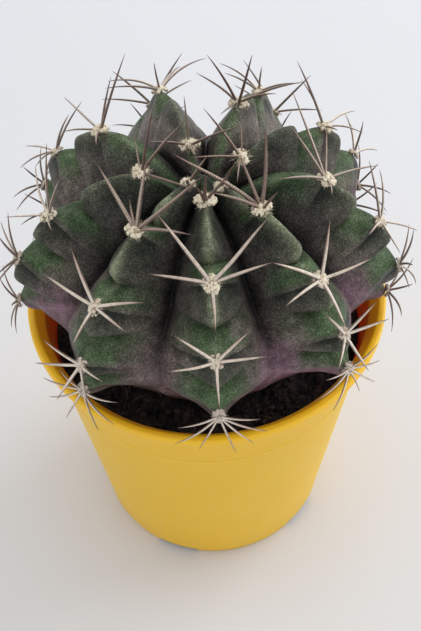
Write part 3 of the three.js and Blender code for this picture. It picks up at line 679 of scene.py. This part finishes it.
def areole_frame(rib, angle):
    """Place of an areole and its directions: out of the skin, up to the crown, and right."""
    polar = np.array(float(angle))
    azimuth = rib_azimuth(rib, polar)
    height = rib_surface(rib, polar[None], np.zeros(1), np.zeros(1), azimuth)[0][0]
    _, _, out_r, out_z, _ = crest_point(polar)
    turn = np.radians(azimuth)
    tilt = np.radians(NOSE_TILT)
    away = np.array([np.cos(turn), np.sin(turn), 0.0])
    right = np.array([-np.sin(turn), np.cos(turn), 0.0])
    out = (away * (out_r * np.cos(tilt) - out_z * np.sin(tilt))
           + np.array([0, 0, 1.0]) * (out_r * np.sin(tilt) + out_z * np.cos(tilt)))
    return skin_point(polar, azimuth, height), out, np.cross(out, right), right


def make_spines(name, place, angle, rng, material):
    """Every spine of one areole. A spine leaves at its lift and turns evenly by its bend, so its path
    is an arc, with a little sway. Its radius swells at the root, holds and then runs out to a fine
    point. The ring section has a groove on the outer side."""
    origin, out, up, right = place
    table = np.array(spines_of(name, angle), dtype=float)
    clock, lift, length, bend = table.T
    side = (np.cos(np.radians(clock))[:, None] * up + np.sin(np.radians(clock))[:, None] * right)
    root = origin + ROOT_OUT * out + ROOT_ASIDE * side
    t = np.linspace(0, 1, SPINE_STEPS)[None, :]
    start = np.radians(lift)[:, None]
    turned = start - np.radians(bend)[:, None] * t
    scale = (length / np.radians(bend))[:, None]
    over = scale * (np.sin(start) - np.sin(turned))
    away = scale * (np.cos(turned) - np.cos(start))
    sway = SWAY * length[:, None] * np.sin(np.pi * t * rng.uniform(0.6, 1.6, (len(table), 1)))
    sway = sway * rng.uniform(-1, 1, (len(table), 1))
    beside = np.cross(side, out)
    paths = (root[:, None, :] + over[..., None] * side[:, None, :] + away[..., None] * out
             + sway[..., None] * beside[:, None, :])
    stout = int(name[0]) - 1 in STOUT_RIBS and angle < OLD_FROM
    thick = SPINE_RADIUS * (1.0 if stout else SLENDER)
    thick = thick * np.clip((length / FULL_LENGTH) ** 0.5, 0.72, 1.12)[:, None]
    root_swell = 1 + 0.14 * np.exp(-(t / 0.05) ** 2)
    radii = thick * (1 - t ** 3.6) * (1.04 - 0.24 * t) * root_swell + FINEST
    turn = round_angles(SPINE_SIDES)
    section = 1 - GROOVE * np.exp(-(np.minimum(turn, 2 * np.pi - turn) / 0.35) ** 2)
    points, faces = tubes(paths, radii, SPINE_SIDES, np.broadcast_to(out, root.shape), section)
    shape = (len(table), SPINE_STEPS, SPINE_SIDES)
    values = {
        "along": np.broadcast_to(t[..., None], shape),
        "reach": np.broadcast_to((t * length[:, None])[..., None], shape),
        "top": np.broadcast_to(np.cos(turn), shape),
        "tone": np.broadcast_to(rng.random((len(table), 1, 1)), shape),
        "youth": np.full(shape, 1 - ease(22, 50, float(angle))),
    }
    make_piece("spines_" + name, points, faces, material,
               ["areole_" + name], values)


WOOL_TUFTS = 64
TUFT_ROWS = 6
TUFT_COLUMNS = 8
TUFT_LUMPS = ((0.55, 0.42, 21), (0.35, 0.2, 22))
WOOL_DEPTH = 1.5
WOOL_HAIRS = 200
HAIR_STEPS = 5
HAIR_RADIUS = 0.055


def make_wool(name, place, angle, rng, material):
    """The felt of one areole: lumpy round tufts in an oval pad, with short curled hairs on them. A
    tuft stands higher the nearer it is to the middle. A hair's path is a parabola. An old pad is
    smaller, taller than wide, and its hairs are shorter."""
    origin, out, up, right = place
    size = 0.8 if angle < 13 else mix(1.05, 0.84, ease(44, 62, float(angle)))
    aged = ease(26, 44, float(angle))
    half_width = mix(2.1, 1.5, aged)
    half_height = mix(1.4, 2.0, aged)
    turn = rng.uniform(0, 2 * np.pi, WOOL_TUFTS)
    spread = np.sqrt(rng.random(WOOL_TUFTS))
    middle = (half_width * size * (spread * np.cos(turn))[:, None] * right
              + size * (half_height * spread * np.sin(turn) - 0.1 * aged)[:, None] * up
              + size * (1.15 - 0.95 * spread ** 2)[:, None] * out)
    radius = size * rng.uniform(0.24, 0.52, WOOL_TUFTS)
    tuft = ball(TUFT_ROWS, TUFT_COLUMNS, 0.12)
    points = origin + middle[:, None, :] + radius[:, None, None] * tuft
    rough = swells(points, *TUFT_LUMPS)
    points = points + rough[..., None] * radius[:, None, None] * tuft
    faces = closed_faces(WOOL_TUFTS, TUFT_ROWS, TUFT_COLUMNS)
    depth = np.clip(((points - origin) @ out) / (WOOL_DEPTH * size), 0, 1).ravel()
    points = points.reshape(-1, 3)
    aim = rng.normal(size=(WOOL_HAIRS, 3)) * 0.8 + out
    aim = unit(aim + 0.6 * unit(aim))
    seat = origin + WOOL_DEPTH * size * (aim - out * (aim @ out)[:, None] * 0.55)
    reach = rng.uniform(0.4, 1.15, WOOL_HAIRS)[:, None, None] * size * mix(1, 0.62, aged)
    t = np.linspace(0, 1, HAIR_STEPS)[None, :, None]
    curl = unit(np.cross(aim, rng.normal(size=(WOOL_HAIRS, 3))))
    paths = seat[:, None, :] + reach * (t * aim[:, None, :] + 0.45 * t ** 2 * curl[:, None, :])
    radii = np.broadcast_to(HAIR_RADIUS * (1 - 0.7 * t[..., 0]), (WOOL_HAIRS, HAIR_STEPS))
    hairs, hair_faces = tubes(paths, radii, 3, unit(np.cross(aim, curl)))
    faces.extend([[i + len(points) for i in face] for face in hair_faces])
    points = np.concatenate([points, hairs])
    values = {"height": np.concatenate([depth, np.ones(len(hairs))]),
              "fresh": np.full(len(points), 1 - ease(40, 92, float(angle)))}
    make_piece("wool_" + name, points, faces, material,
               ["areole_" + name], values)


# ------------------------------------------------------------------ pot
POT_RIM_RADIUS = 42.5
POT_RIM_LAND = 1.6
POT_LIP_DEPTH = 2.2
POT_WALL_TOP_RADIUS = 40.0
POT_BASE_RADIUS = 29.8
POT_WALL = 1.1
POT_FLOOR = 1.3
LEDGE_DROP = 16.2
LEDGE_STEP = 0.35
LEDGE_BEAD = 0.12                 # rounded edge of the ledge, proud of the band above it
DRAIN_COUNT = 5
DRAIN_SIZE = (5.0, 11.0, 2.0)     # depth, width and height of a notch
DRAIN_AZIMUTH = 249.0
POT_COLUMNS = 240
FOOT_LINE = 2.6                   # height of the faint moulding line above the base
FOOT_LINE_STEP = 0.12
CORNER_POINTS = 6
LONG_STEP = 5.0                   # between the points along a long straight of the section
SHARP_FROM = 40.0                 # an edge of the pot is sharp from this angle on


def pot_wall(z):
    """Outer radius of the tapered wall at a height."""
    return mix(POT_BASE_RADIUS, POT_WALL_TOP_RADIUS, z / POT_HEIGHT)


def rounded(outline):
    """An outline of (radius, height, rounding) corners as a row of points: each corner becomes a
    small curve, and long straights get points along them."""
    corner = np.array([[r, z] for r, z, _ in outline])
    made = [corner[:1]]
    for i in range(1, len(outline) - 1):
        cut = outline[i][2]
        before = unit(corner[i - 1] - corner[i])
        after = unit(corner[i + 1] - corner[i])
        t = np.linspace(0, 1, CORNER_POINTS)[:, None]
        start = corner[i] + cut * before
        end = corner[i] + cut * after
        made.append((1 - t) ** 2 * start + 2 * t * (1 - t) * corner[i] + t ** 2 * end)
    made.append(corner[-1:])
    points = np.concatenate(made)
    full = [points[:1]]
    for a, b in zip(points[:-1], points[1:]):
        length = np.linalg.norm(b - a)
        if length > 1.0:
            near = 0.15 / length
            steps = np.linspace(near, 1 - near, int(length / LONG_STEP) + 2)
            steps = np.append(steps, 1.0)
        else:
            steps = np.array([1.0])
        full.append(a + steps[:, None] * (b - a))
    return np.concatenate(full)


def make_pot(material):
    """The pot: its section turned round the axis, then notched through the foot. The section goes
    from the base up the wall to the ledge, the lip and the rim, and down the inside to the floor."""
    lip = POT_HEIGHT - POT_LIP_DEPTH
    ledge = POT_HEIGHT - LEDGE_DROP
    band = pot_wall(ledge) + LEDGE_STEP
    over_line = FOOT_LINE + 0.25
    inside = POT_RIM_RADIUS - POT_RIM_LAND
    rings = rounded([
        (0, 0, 0), (POT_BASE_RADIUS - 0.3, 0, 0.5),
        (pot_wall(FOOT_LINE) + FOOT_LINE_STEP, FOOT_LINE, 0.1), (pot_wall(over_line), over_line, 0.1),
        (pot_wall(ledge), ledge, 0.12), (band + LEDGE_BEAD, ledge + 0.35, 0.2),
        (band, ledge + 1.1, 0.3), (pot_wall(lip) + LEDGE_STEP, lip, 0.35),
        (POT_RIM_RADIUS, lip + 0.1, 0.5), (POT_RIM_RADIUS, POT_HEIGHT, 0.7),
        (inside, POT_HEIGHT, 0.5), (pot_wall(lip) - POT_WALL, lip - 0.6, 0.6),
        (pot_wall(POT_FLOOR) - POT_WALL, POT_FLOOR, 0.8), (0, POT_FLOOR, 0)])[1:-1]
    points, faces = turned(rings, POT_COLUMNS)
    # inner marks the inside below the rim, where the material paints light through the wall as a redder
    # colour
    past_rim = (np.arange(len(rings)) > np.argmax(rings[:, 1])) & (rings[:, 0] < inside - 0.1)
    inner = np.repeat(past_rim * ease(0.5, 5.0, POT_HEIGHT - rings[:, 1]), POT_COLUMNS)
    pot = make_piece("pot_shell", points, faces, material, ["pot"], {"inner": inner})
    cutter = make_notches()
    cut = pot.modifiers.new("drain notches", "BOOLEAN")
    cut.object = cutter
    cut.operation = "DIFFERENCE"
    cut.solver = "EXACT"
    cut_mesh = bpy.data.meshes.new_from_object(pot.evaluated_get(bpy.context.evaluated_depsgraph_get()))
    pot.modifiers.clear()
    pot.data = cut_mesh
    pot.data.set_sharp_from_angle(angle=np.radians(SHARP_FROM))
    bpy.data.objects.remove(cutter)


def make_notches():
    """Five blocks, as wide and deep as the drain notches, standing half below the base. They stick
    out of the foot a little."""
    depth, width, height = DRAIN_SIZE
    outside = POT_BASE_RADIUS + 1
    block = np.array(list(itertools.product((outside - depth, outside), (-width / 2, width / 2),
                                            (-height, height))))
    sides = [[0, 1, 3, 2], [4, 6, 7, 5], [0, 4, 5, 1], [2, 3, 7, 6], [0, 2, 6, 4], [1, 5, 7, 3]]
    points = []
    faces = []
    for i in range(DRAIN_COUNT):
        turn = np.radians(DRAIN_AZIMUTH + i * 360 / DRAIN_COUNT)
        spin = np.array([[np.cos(turn), -np.sin(turn), 0], [np.sin(turn), np.cos(turn), 0], [0, 0, 1]])
        faces.extend([[v + len(block) * i for v in side] for side in sides])
        points.append(block @ spin.T)
    cutter = in_scene("notches", mesh_of("notches", points, faces))
    bpy.context.view_layer.update()
    return cutter


# ------------------------------------------------------------------ soil
SOIL_TOP = POT_HEIGHT - 12.0
SOIL_SWELL = 0.8
SOIL_GAP = 0.4                    # to the inside of the pot
HOLE_SLACK = 0.5
SOIL_FLOOR_GAP = 0.3
SOIL_BRINK = 2.5                  # width beside the hole over which the soil turns rough
SOIL_LUMPS = ((1.5, 2.6, 31), (0.9, 1.1, 32))
SOIL_COLUMNS = 300
SOIL_RINGS = 44
WALL_RINGS = 6
HOLE_RINGS = 8
CRUMBS = 1500
CRUMB_ROWS = 5
CRUMB_COLUMNS = 7
CRUMBS_FROM = 21.5                # radius, so that some lie under the plant's lowest ribs
FIBRES = 110
FIBRES_BETWEEN = (23.5, 32.5)
FIBRE_STEPS = 9
FIBRE_SIDES = 5


def soil_edge(z):
    """Radius of the soil at a height: the inside of the pot, less the gap."""
    return pot_wall(z) - POT_WALL - SOIL_GAP


def soil_level(x, y):
    """Height of the soil over its mean: long swells, and short lumps on them."""
    swell = np.sin(0.21 * x + 0.6) * np.cos(0.17 * y - 0.4) + 0.5 * np.sin(0.4 * y + 0.3 * x)
    return SOIL_SWELL * swell + swells(np.stack([x, y, 0 * x], -1), *SOIL_LUMPS)


def make_soil(material):
    """The block of soil: a section turned round the axis, with a rough top and a plain hole for the
    plant's foot, which is half an ellipse."""
    edge = soil_edge(SOIL_TOP)
    hole_width = FOOT_RADIUS + HOLE_SLACK
    hole_depth = FOOT_DEPTH + HOLE_SLACK
    brink_at = np.arccos((SOIL_TOP - FOOT_MIDDLE) / hole_depth)
    brink = hole_width * np.sin(brink_at)
    wall_z = np.linspace(POT_FLOOR + SOIL_FLOOR_GAP, SOIL_TOP, WALL_RINGS)
    wall = np.stack([soil_edge(wall_z), wall_z], -1)
    top_r = np.linspace(edge - 0.3, brink, SOIL_RINGS)
    top = np.stack([top_r, 0 * top_r + SOIL_TOP], -1)
    hole_at = np.linspace(brink_at, np.pi, HOLE_RINGS)[1:-1]
    hole = np.stack([hole_width * np.sin(hole_at), FOOT_MIDDLE + hole_depth * np.cos(hole_at)], -1)
    points, faces = turned(np.concatenate([wall, top, hole]), SOIL_COLUMNS)
    loose = ease(0, SOIL_BRINK, top_r - brink) * ease(0, 1, edge + 0.3 - top_r)
    rough = points[len(wall):len(wall) + SOIL_RINGS]
    rough[..., 2] += soil_level(rough[..., 0], rough[..., 1]) * loose[:, None]
    tint = lumps(points, 1.6, 33)
    make_piece("soil_bed", points, faces, material, ["soil"], {"tint": tint})


def scattered(rng, count, inner, outer):
    """Even random places on the soil between two radii, and the level of the soil there."""
    r = np.sqrt(rng.uniform(inner ** 2, outer ** 2, count))
    turn = rng.uniform(0, 2 * np.pi, count)
    x = r * np.cos(turn)
    y = r * np.sin(turn)
    return np.stack([x, y, SOIL_TOP + soil_level(x, y) * ease(0, SOIL_BRINK, r - 22)], -1)


def make_crumbs(material):
    """Loose crumbs of peat on the soil: rough little lumps of many sizes, half sunk in."""
    rng = np.random.default_rng(41)
    centre = scattered(rng, CRUMBS, CRUMBS_FROM, soil_edge(SOIL_TOP) - 1.0)
    size = 0.28 + 0.75 * rng.random(CRUMBS) ** 2.6
    crumb = ball(CRUMB_ROWS, CRUMB_COLUMNS, 0.35)
    squash = rng.uniform(0.6, 1.3, (CRUMBS, 1, 3))
    points = centre[:, None, :] + size[:, None, None] * squash * crumb
    rough = swells(points, (0.9, 0.7, 42))
    points = points + (rough * size[:, None])[..., None] * crumb
    points[..., 2] += 0.25 * size[:, None]
    faces = closed_faces(CRUMBS, CRUMB_ROWS, CRUMB_COLUMNS)
    tint = np.repeat(rng.random(CRUMBS), len(crumb))
    make_piece("soil_crumbs", points, faces, material,
               values={"tint": tint}, smooth=False)


def make_fibres(material):
    """Thin plant fibres that lie on the soil, each a flat arc with a little rise."""
    rng = np.random.default_rng(43)
    centre = scattered(rng, FIBRES, *FIBRES_BETWEEN)
    centre[:, 2] += rng.uniform(0.3, 0.9, FIBRES)
    heading = rng.uniform(0, 2 * np.pi, FIBRES)
    aim = np.stack([np.cos(heading), np.sin(heading), rng.uniform(-0.12, 0.12, FIBRES)], -1)
    curl = np.stack([-np.sin(heading), np.cos(heading), rng.uniform(-0.3, 0.5, FIBRES)], -1)
    length = rng.uniform(2.5, 7.0, FIBRES)[:, None, None]
    t = np.linspace(-0.5, 0.5, FIBRE_STEPS)[None, :, None]
    bow = rng.uniform(-0.9, 0.9, FIBRES)[:, None, None]
    paths = centre[:, None, :] + length * (t * aim[:, None, :] + bow * t ** 2 * curl[:, None, :])
    radii = rng.uniform(0.06, 0.15, (FIBRES, 1)) * np.ones((1, FIBRE_STEPS))
    points, faces = tubes(paths, radii, FIBRE_SIDES, unit(np.cross(aim, curl)))
    tint = np.repeat(rng.random(FIBRES), FIBRE_STEPS * FIBRE_SIDES)
    make_piece("soil_fibres", points, faces, material, values={"tint": tint})


# ------------------------------------------------------------------ materials
def skin_material():
    """Plant skin, painted by the tints that the mesh holds: a grey-green ground, brown flanks and
    green brows, each of them lighter where it is grown and darker near the crown, partly the young
    skin's colour and partly painted shade; over these the keels, pale skin with a painted highlight,
    the painted shade under the areoles, the pale young flanks, the mauve belt and the near black
    painted shade of the furrows, the creases and the crown. Small cells of uneven brightness speckle
    it all, and a few white specks lie on it. The gloss is satin."""
    material, tree, shader, place = painted("cactus skin")
    grown = read(tree, "grown")
    colour = blend_colour(tree, grown, (0.054, 0.056, 0.044), (0.080, 0.077, 0.060))
    brown = blend_colour(tree, grown, (0.062, 0.052, 0.047), (0.122, 0.096, 0.086))
    fresh = blend_colour(tree, grown, (0.036, 0.069, 0.029), (0.059, 0.098, 0.043))
    # keel is pale skin with a painted highlight; under and dark are painted shade; the others are the
    # skin's own colours
    for name, strength, tint in (
            ("brown", 0.80, brown), ("green", 1.00, fresh), ("keel", 0.85, (0.195, 0.220, 0.140)),
            ("under", 0.90, (0.007, 0.010, 0.007)), ("pale", 0.65, (0.205, 0.170, 0.148)),
            ("mauve", 1.00, (0.200, 0.112, 0.150)), ("dark", 0.92, (0.005, 0.004, 0.005))):
        colour = tinted(tree, colour, read(tree, name), strength, tint)
    grain = placed(tree, GRAIN, place, {"Per Metre": 1500.0, "Contrast": 3.4})
    cells = placed(tree, SPECKLES, place, {"Per Metre": 5400.0, "Size": 0.5, "Share": 1.0})
    lively = maths(tree, "SUBTRACT", 1.30, times(tree, read(tree, "mauve"), 0.7))
    scatter = maths(tree, "SUBTRACT", maths(tree, "POWER", cells["Shade"], 2.5), 0.28)
    fleck = maths(tree, "ADD", times(tree, scatter, lively), 1.0)
    fleck = times(tree, fleck, span(tree, grain["Value"], 0.0, 1.0, 0.85, 1.15))
    mottle = span(tree, noise(tree, place, 300.0, 2.0), 0.32, 0.68, 0.74, 1.28)
    colour = shaded(tree, colour, 1.0, grey(tree, times(tree, fleck, mottle)))
    frost = maths(tree, "POWER", cells["Shade"], 7.0)
    colour = tinted(tree, colour, frost, 0.12, (0.20, 0.24, 0.20))
    white = placed(tree, SPECKLES, place, {"Per Metre": 420.0, "Size": 0.050, "Share": 0.13})
    colour = tinted(tree, colour, white["Mask"], 0.8, (0.60, 0.62, 0.56))
    roughness = span(tree, grain["Value"], 0.2, 0.8, 0.36, 0.54)
    feed(tree, shader, {"Base Color": colour, "Roughness": roughness, "Specular IOR Level": 0.12})
    bumped(tree, shader, grain["Height"], 0.00018, 0.7)
    return material


def spine_material():
    """Horny spines: brown while young, tan to cream when grown, with dark tips, a thin dark line
    along the groove, painted shade on the sides and the side toward the skin, which leaves a pale
    stripe on the outer side as a painted highlight, brown mottling, and rings on the young ones."""
    material, tree, shader, place = painted("spine")
    along = read(tree, "along")
    youth = read(tree, "youth")
    tone = read(tree, "tone")
    top = read(tree, "top")
    outer = blend_colour(tree, tone, (0.56, 0.43, 0.34), (0.80, 0.69, 0.57))
    grown = blend_colour(tree, span(tree, along, 0.15, 0.75), (0.82, 0.73, 0.61), outer)
    young = blend_colour(tree, tone, (0.20, 0.13, 0.10), (0.44, 0.33, 0.25))
    colour = blend_colour(tree, youth, grown, young)
    colour = tinted(tree, colour, span(tree, top, 0.92, 0.99), 0.30, (0.16, 0.09, 0.07))
    # painted shade: all but a narrow stripe on the outer side darkens, so that stripe reads as a painted
    # highlight
    colour = tinted(tree, colour, span(tree, top, 0.94, 0.42), 0.80, (0.085, 0.040, 0.032))
    mottle = span(tree, noise(tree, place, 1300.0, 3.0, 0.6), 0.54, 0.70)
    colour = tinted(tree, colour, mottle, 0.45, (0.26, 0.16, 0.12))
    colour = tinted(tree, colour, span(tree, along, 0.74, 0.98), 0.85, (0.13, 0.055, 0.040))
    wave = maths(tree, "SINE", times(tree, read(tree, "reach"), RING_PACE))
    ringed = times(tree, youth, maths(tree, "ADD", times(tree, tone, 0.8), 0.1))
    colour = shaded(tree, colour, ringed, grey(tree, span(tree, wave, -0.7, 0.7, 0.50, 1.18)))
    grain = placed(tree, GRAIN, place, {"Per Metre": 3200.0, "Contrast": 2.0})
    worn = blend_colour(tree, grain["Value"], (0.35, 0.32, 0.30), (1.6, 1.6, 1.6))
    colour = shaded(tree, colour, 0.45, worn)
    feed(tree, shader, {"Base Color": colour, "Roughness": 0.36, "Specular IOR Level": 0.55})
    bumped(tree, shader, maths(tree, "ADD", wave, grain["Height"]), 0.00003, 0.6)
    return material


def wool_material():
    """Felted wool: cream while fresh and greyer when old, with painted shade in brown low in the pad and
    between its clots.
    """
    material, tree, shader, place = painted("areole wool")
    fresh = blend_colour(tree, read(tree, "fresh"), (0.60, 0.52, 0.45), (0.86, 0.78, 0.60))
    clots = span(tree, noise(tree, place, 1500.0, 3.0, 0.6), 0.33, 0.52)
    # shade near 0 gives the brown painted shade, low in the pad and between the noise's clots
    shade = times(tree, clots, span(tree, read(tree, "height"), -0.2, 0.4))
    colour = blend_colour(tree, shade, (0.34, 0.23, 0.15), fresh)
    feed(tree, shader, {"Base Color": colour, "Roughness": 0.9, "Sheen Weight": 0.25})
    grain = placed(tree, GRAIN, place, {"Per Metre": 5200.0, "Contrast": 1.5})
    bumped(tree, shader, grain["Height"], 0.00012, 0.8)
    return material


def peat_material():
    """Dark moist peat: nearly black, with brown crumbs and a few pale specks."""
    material, tree, shader, place = painted("peat")
    patch = span(tree, noise(tree, place, 800.0), 0.3, 0.7, -0.3, 0.3)
    tint = span(tree, maths(tree, "ADD", read(tree, "tint"), patch, True), 0.35, 1.0)
    colour = blend_colour(tree, tint, (0.006, 0.005, 0.006), (0.050, 0.034, 0.028))
    grain = placed(tree, GRAIN, place, {"Per Metre": 2400.0, "Contrast": 2.5})
    crumbly = blend_colour(tree, grain["Value"], (0.2, 0.2, 0.2), (2.0, 1.9, 1.8))
    colour = shaded(tree, colour, 0.6, crumbly)
    specks = placed(tree, SPECKLES, place, {"Per Metre": 500.0, "Size": 0.16, "Share": 0.12})
    colour = tinted(tree, colour, specks["Mask"], 0.6, (0.22, 0.16, 0.12))
    roughness = span(tree, grain["Value"], 0.2, 0.8, 0.95, 0.6)
    feed(tree, shader, {"Base Color": colour, "Roughness": roughness})
    bumped(tree, shader, grain["Height"], 0.0005, 0.9)
    return material


def fibre_material():
    """Dry fibres in the peat, from dark brown to straw, with dark patches."""
    material, tree, shader, place = painted("peat fibre")
    tint = span(tree, read(tree, "tint"), 0.55, 1.0)
    colour = blend_colour(tree, tint, (0.035, 0.022, 0.017), (0.26, 0.18, 0.13))
    patch = noise(tree, place, 900.0)
    colour = tinted(tree, colour, span(tree, patch, 0.4, 0.65), 0.6, (0.020, 0.013, 0.010))
    feed(tree, shader, {"Base Color": colour, "Roughness": 0.8})
    bumped(tree, shader, patch, 0.0001)
    return material


def line_at(tree, level, height, width):
    """A soft line round the pot at a height in metres: strongest there, and gone a width away."""
    aside = maths(tree, "ABSOLUTE", maths(tree, "SUBTRACT", level, height))
    return span(tree, aside, 0.0, width, 1.0, 0.0)


def pot_material():
    """Moulded yellow plastic: satin, a little cloudy, darker over the foot, and redder inside below the
    rim as painted light from light through the wall; a painted highlight line on the ledge's edge and
    a painted shade line over it, faint flow lines in the gloss, and dust."""
    material, tree, shader, place = painted("pot plastic")
    cloud = span(tree, noise(tree, place, 28.0, 2.0, 0.5), 0.3, 0.7)
    colour = blend_colour(tree, cloud, (0.870, 0.490, 0.006), (0.890, 0.510, 0.012))
    level = add(tree, "ShaderNodeSeparateXYZ", {"Vector": place}).outputs["Z"]
    ledge = (POT_HEIGHT - LEDGE_DROP) * MM
    dust = placed(tree, SPECKLES, place, {"Per Metre": 300.0, "Size": 0.07, "Share": 0.10})
    for mask, strength, tint in (
            (span(tree, level, 0.0, 0.012, 1.0, 0.0), 0.35, (0.76, 0.44, 0.05)),
            # painted highlight: a pale line on the bead at the ledge's edge
            (line_at(tree, level, ledge + 0.0003, 0.0005), 0.60, (0.96, 0.68, 0.17)),
            # painted shade: a dull line in the crease over the bead
            (line_at(tree, level, ledge + 0.0009, 0.0004), 0.22, (0.60, 0.30, 0.006)),
            # painted light: light through the wall and bouncing inside makes the inside below the rim
            # redder
            (read(tree, "inner"), 0.90, (0.92, 0.34, 0.05)),
            (dust["Mask"], 0.35, (0.85, 0.70, 0.40))):
        colour = tinted(tree, colour, mask, strength, tint)
    stretched = add(tree, "ShaderNodeMapping", {"Vector": place, "Scale": (1.0, 1.0, 0.06)}).outputs[0]
    streaks = noise(tree, stretched, 700.0, 4.0, 0.7)
    feed(tree, shader, {
        "Base Color": colour, "Roughness": span(tree, streaks, 0.35, 0.65, 0.39, 0.45),
        "Specular IOR Level": 0.4, "Subsurface Weight": 0.35,
        "Subsurface Radius": (1.0, 0.42, 0.05), "Subsurface Scale": 0.004})
    grain = placed(tree, GRAIN, place, {"Per Metre": 1800.0, "Contrast": 1.0})
    height = times(tree, maths(tree, "ADD", grain["Height"], streaks), 0.5)
    bumped(tree, shader, height, 0.00003, 0.5)
    return material


def floor_material():
    """Plain pale floor with a barely uneven tone."""
    material, tree, shader, place = painted("floor")
    tone = noise(tree, place, 9.0, 2.0)
    colour = blend_colour(tree, tone, (0.665, 0.677, 0.702), (0.69, 0.702, 0.732))
    feed(tree, shader, {"Base Color": colour, "Roughness": 0.7})
    return material


# ------------------------------------------------------------------ stage and light
FLOOR_RINGS = (60.0, 300.0, 1200.0, 4000.0)
FLOOR_COLUMNS = 96
FLOOR_GAP = 0.02                  # between the floor and the pot's foot
LAMP_AIM = (0, 0, 80)             # the middle of the plant


def make_floor():
    """A wide flat disc under the pot, as rings of points round the origin."""
    turn = round_angles(FLOOR_COLUMNS)
    rings = np.array(FLOOR_RINGS)[:, None]
    points = np.stack([rings * np.cos(turn), rings * np.sin(turn), 0 * rings * turn - FLOOR_GAP], -1)
    faces = grid_faces(len(FLOOR_RINGS), FLOOR_COLUMNS).tolist()
    faces.append(list(range(FLOOR_COLUMNS)))
    mesh = mesh_of("floor", points, faces)
    mesh.materials.append(floor_material())
    in_scene("floor", mesh)


def make_lamp(name, place, size, watts, colour):
    """A square soft light that looks at the plant."""
    data = bpy.data.lights.new(name, "AREA")
    data.size = size * MM
    data.energy = watts
    data.color = colour
    back = unit(np.array(place, dtype=float) - LAMP_AIM)
    side = unit(np.cross([0, 0, 1.0], back))
    in_scene(name, data).matrix_world = standing(place, side, np.cross(back, side), back)


def facing(tree, direction, toward):
    """How far a direction of the room points toward another, as their dot product."""
    inputs = {0: direction, 1: toward}
    return add(tree, "ShaderNodeVectorMath", inputs, operation="DOT_PRODUCT").outputs["Value"]


def make_light():
    """Pale room light all round, a little stronger toward the upper right and dim over the front,
    and a soft lamp behind to the right."""
    world = bpy.data.worlds.new("room")
    bpy.context.scene.world = world
    world.use_nodes = True
    tree = world.node_tree
    direction = add(tree, "ShaderNodeTexCoord").outputs["Generated"]
    room = span(tree, facing(tree, direction, (0.70, 0.30, 0.65)), -0.7, 1.0, 0.94, 1.12)
    dim = span(tree, facing(tree, direction, (0.0, -0.60, 0.80)), 0.80, 0.98, 1.0, 0.50)
    feed(tree, tree.nodes["Background"], {"Strength": times(tree, room, dim),
                                          "Color": (0.985, 0.99, 1.0, 1.0)})
    make_lamp("window", (800, 400, 560), 700, 4.2, (0.99, 0.99, 1.0))
    bpy.context.scene.view_settings.view_transform = "Standard"


# ------------------------------------------------------------------ everything together
def main():
    """The camera, then every piece of the plant, the pot and the soil, then the stage and the light."""
    make_camera()
    make_skin(skin_material())
    spine = spine_material()
    wool = wool_material()
    for k, rib in enumerate(RIBS):
        for j, angle in enumerate(rib[2]):
            name = f"{k + 1}_{j + 1}"
            place = areole_frame(rib, angle)
            rng = np.random.default_rng(100 * k + j)
            make_spines(name, place, angle, rng, spine)
            make_wool(name, place, angle, rng, wool)
    make_pot(pot_material())
    peat = peat_material()
    make_soil(peat)
    make_crumbs(peat)
    make_fibres(fibre_material())
    make_floor()
    make_light()


main()
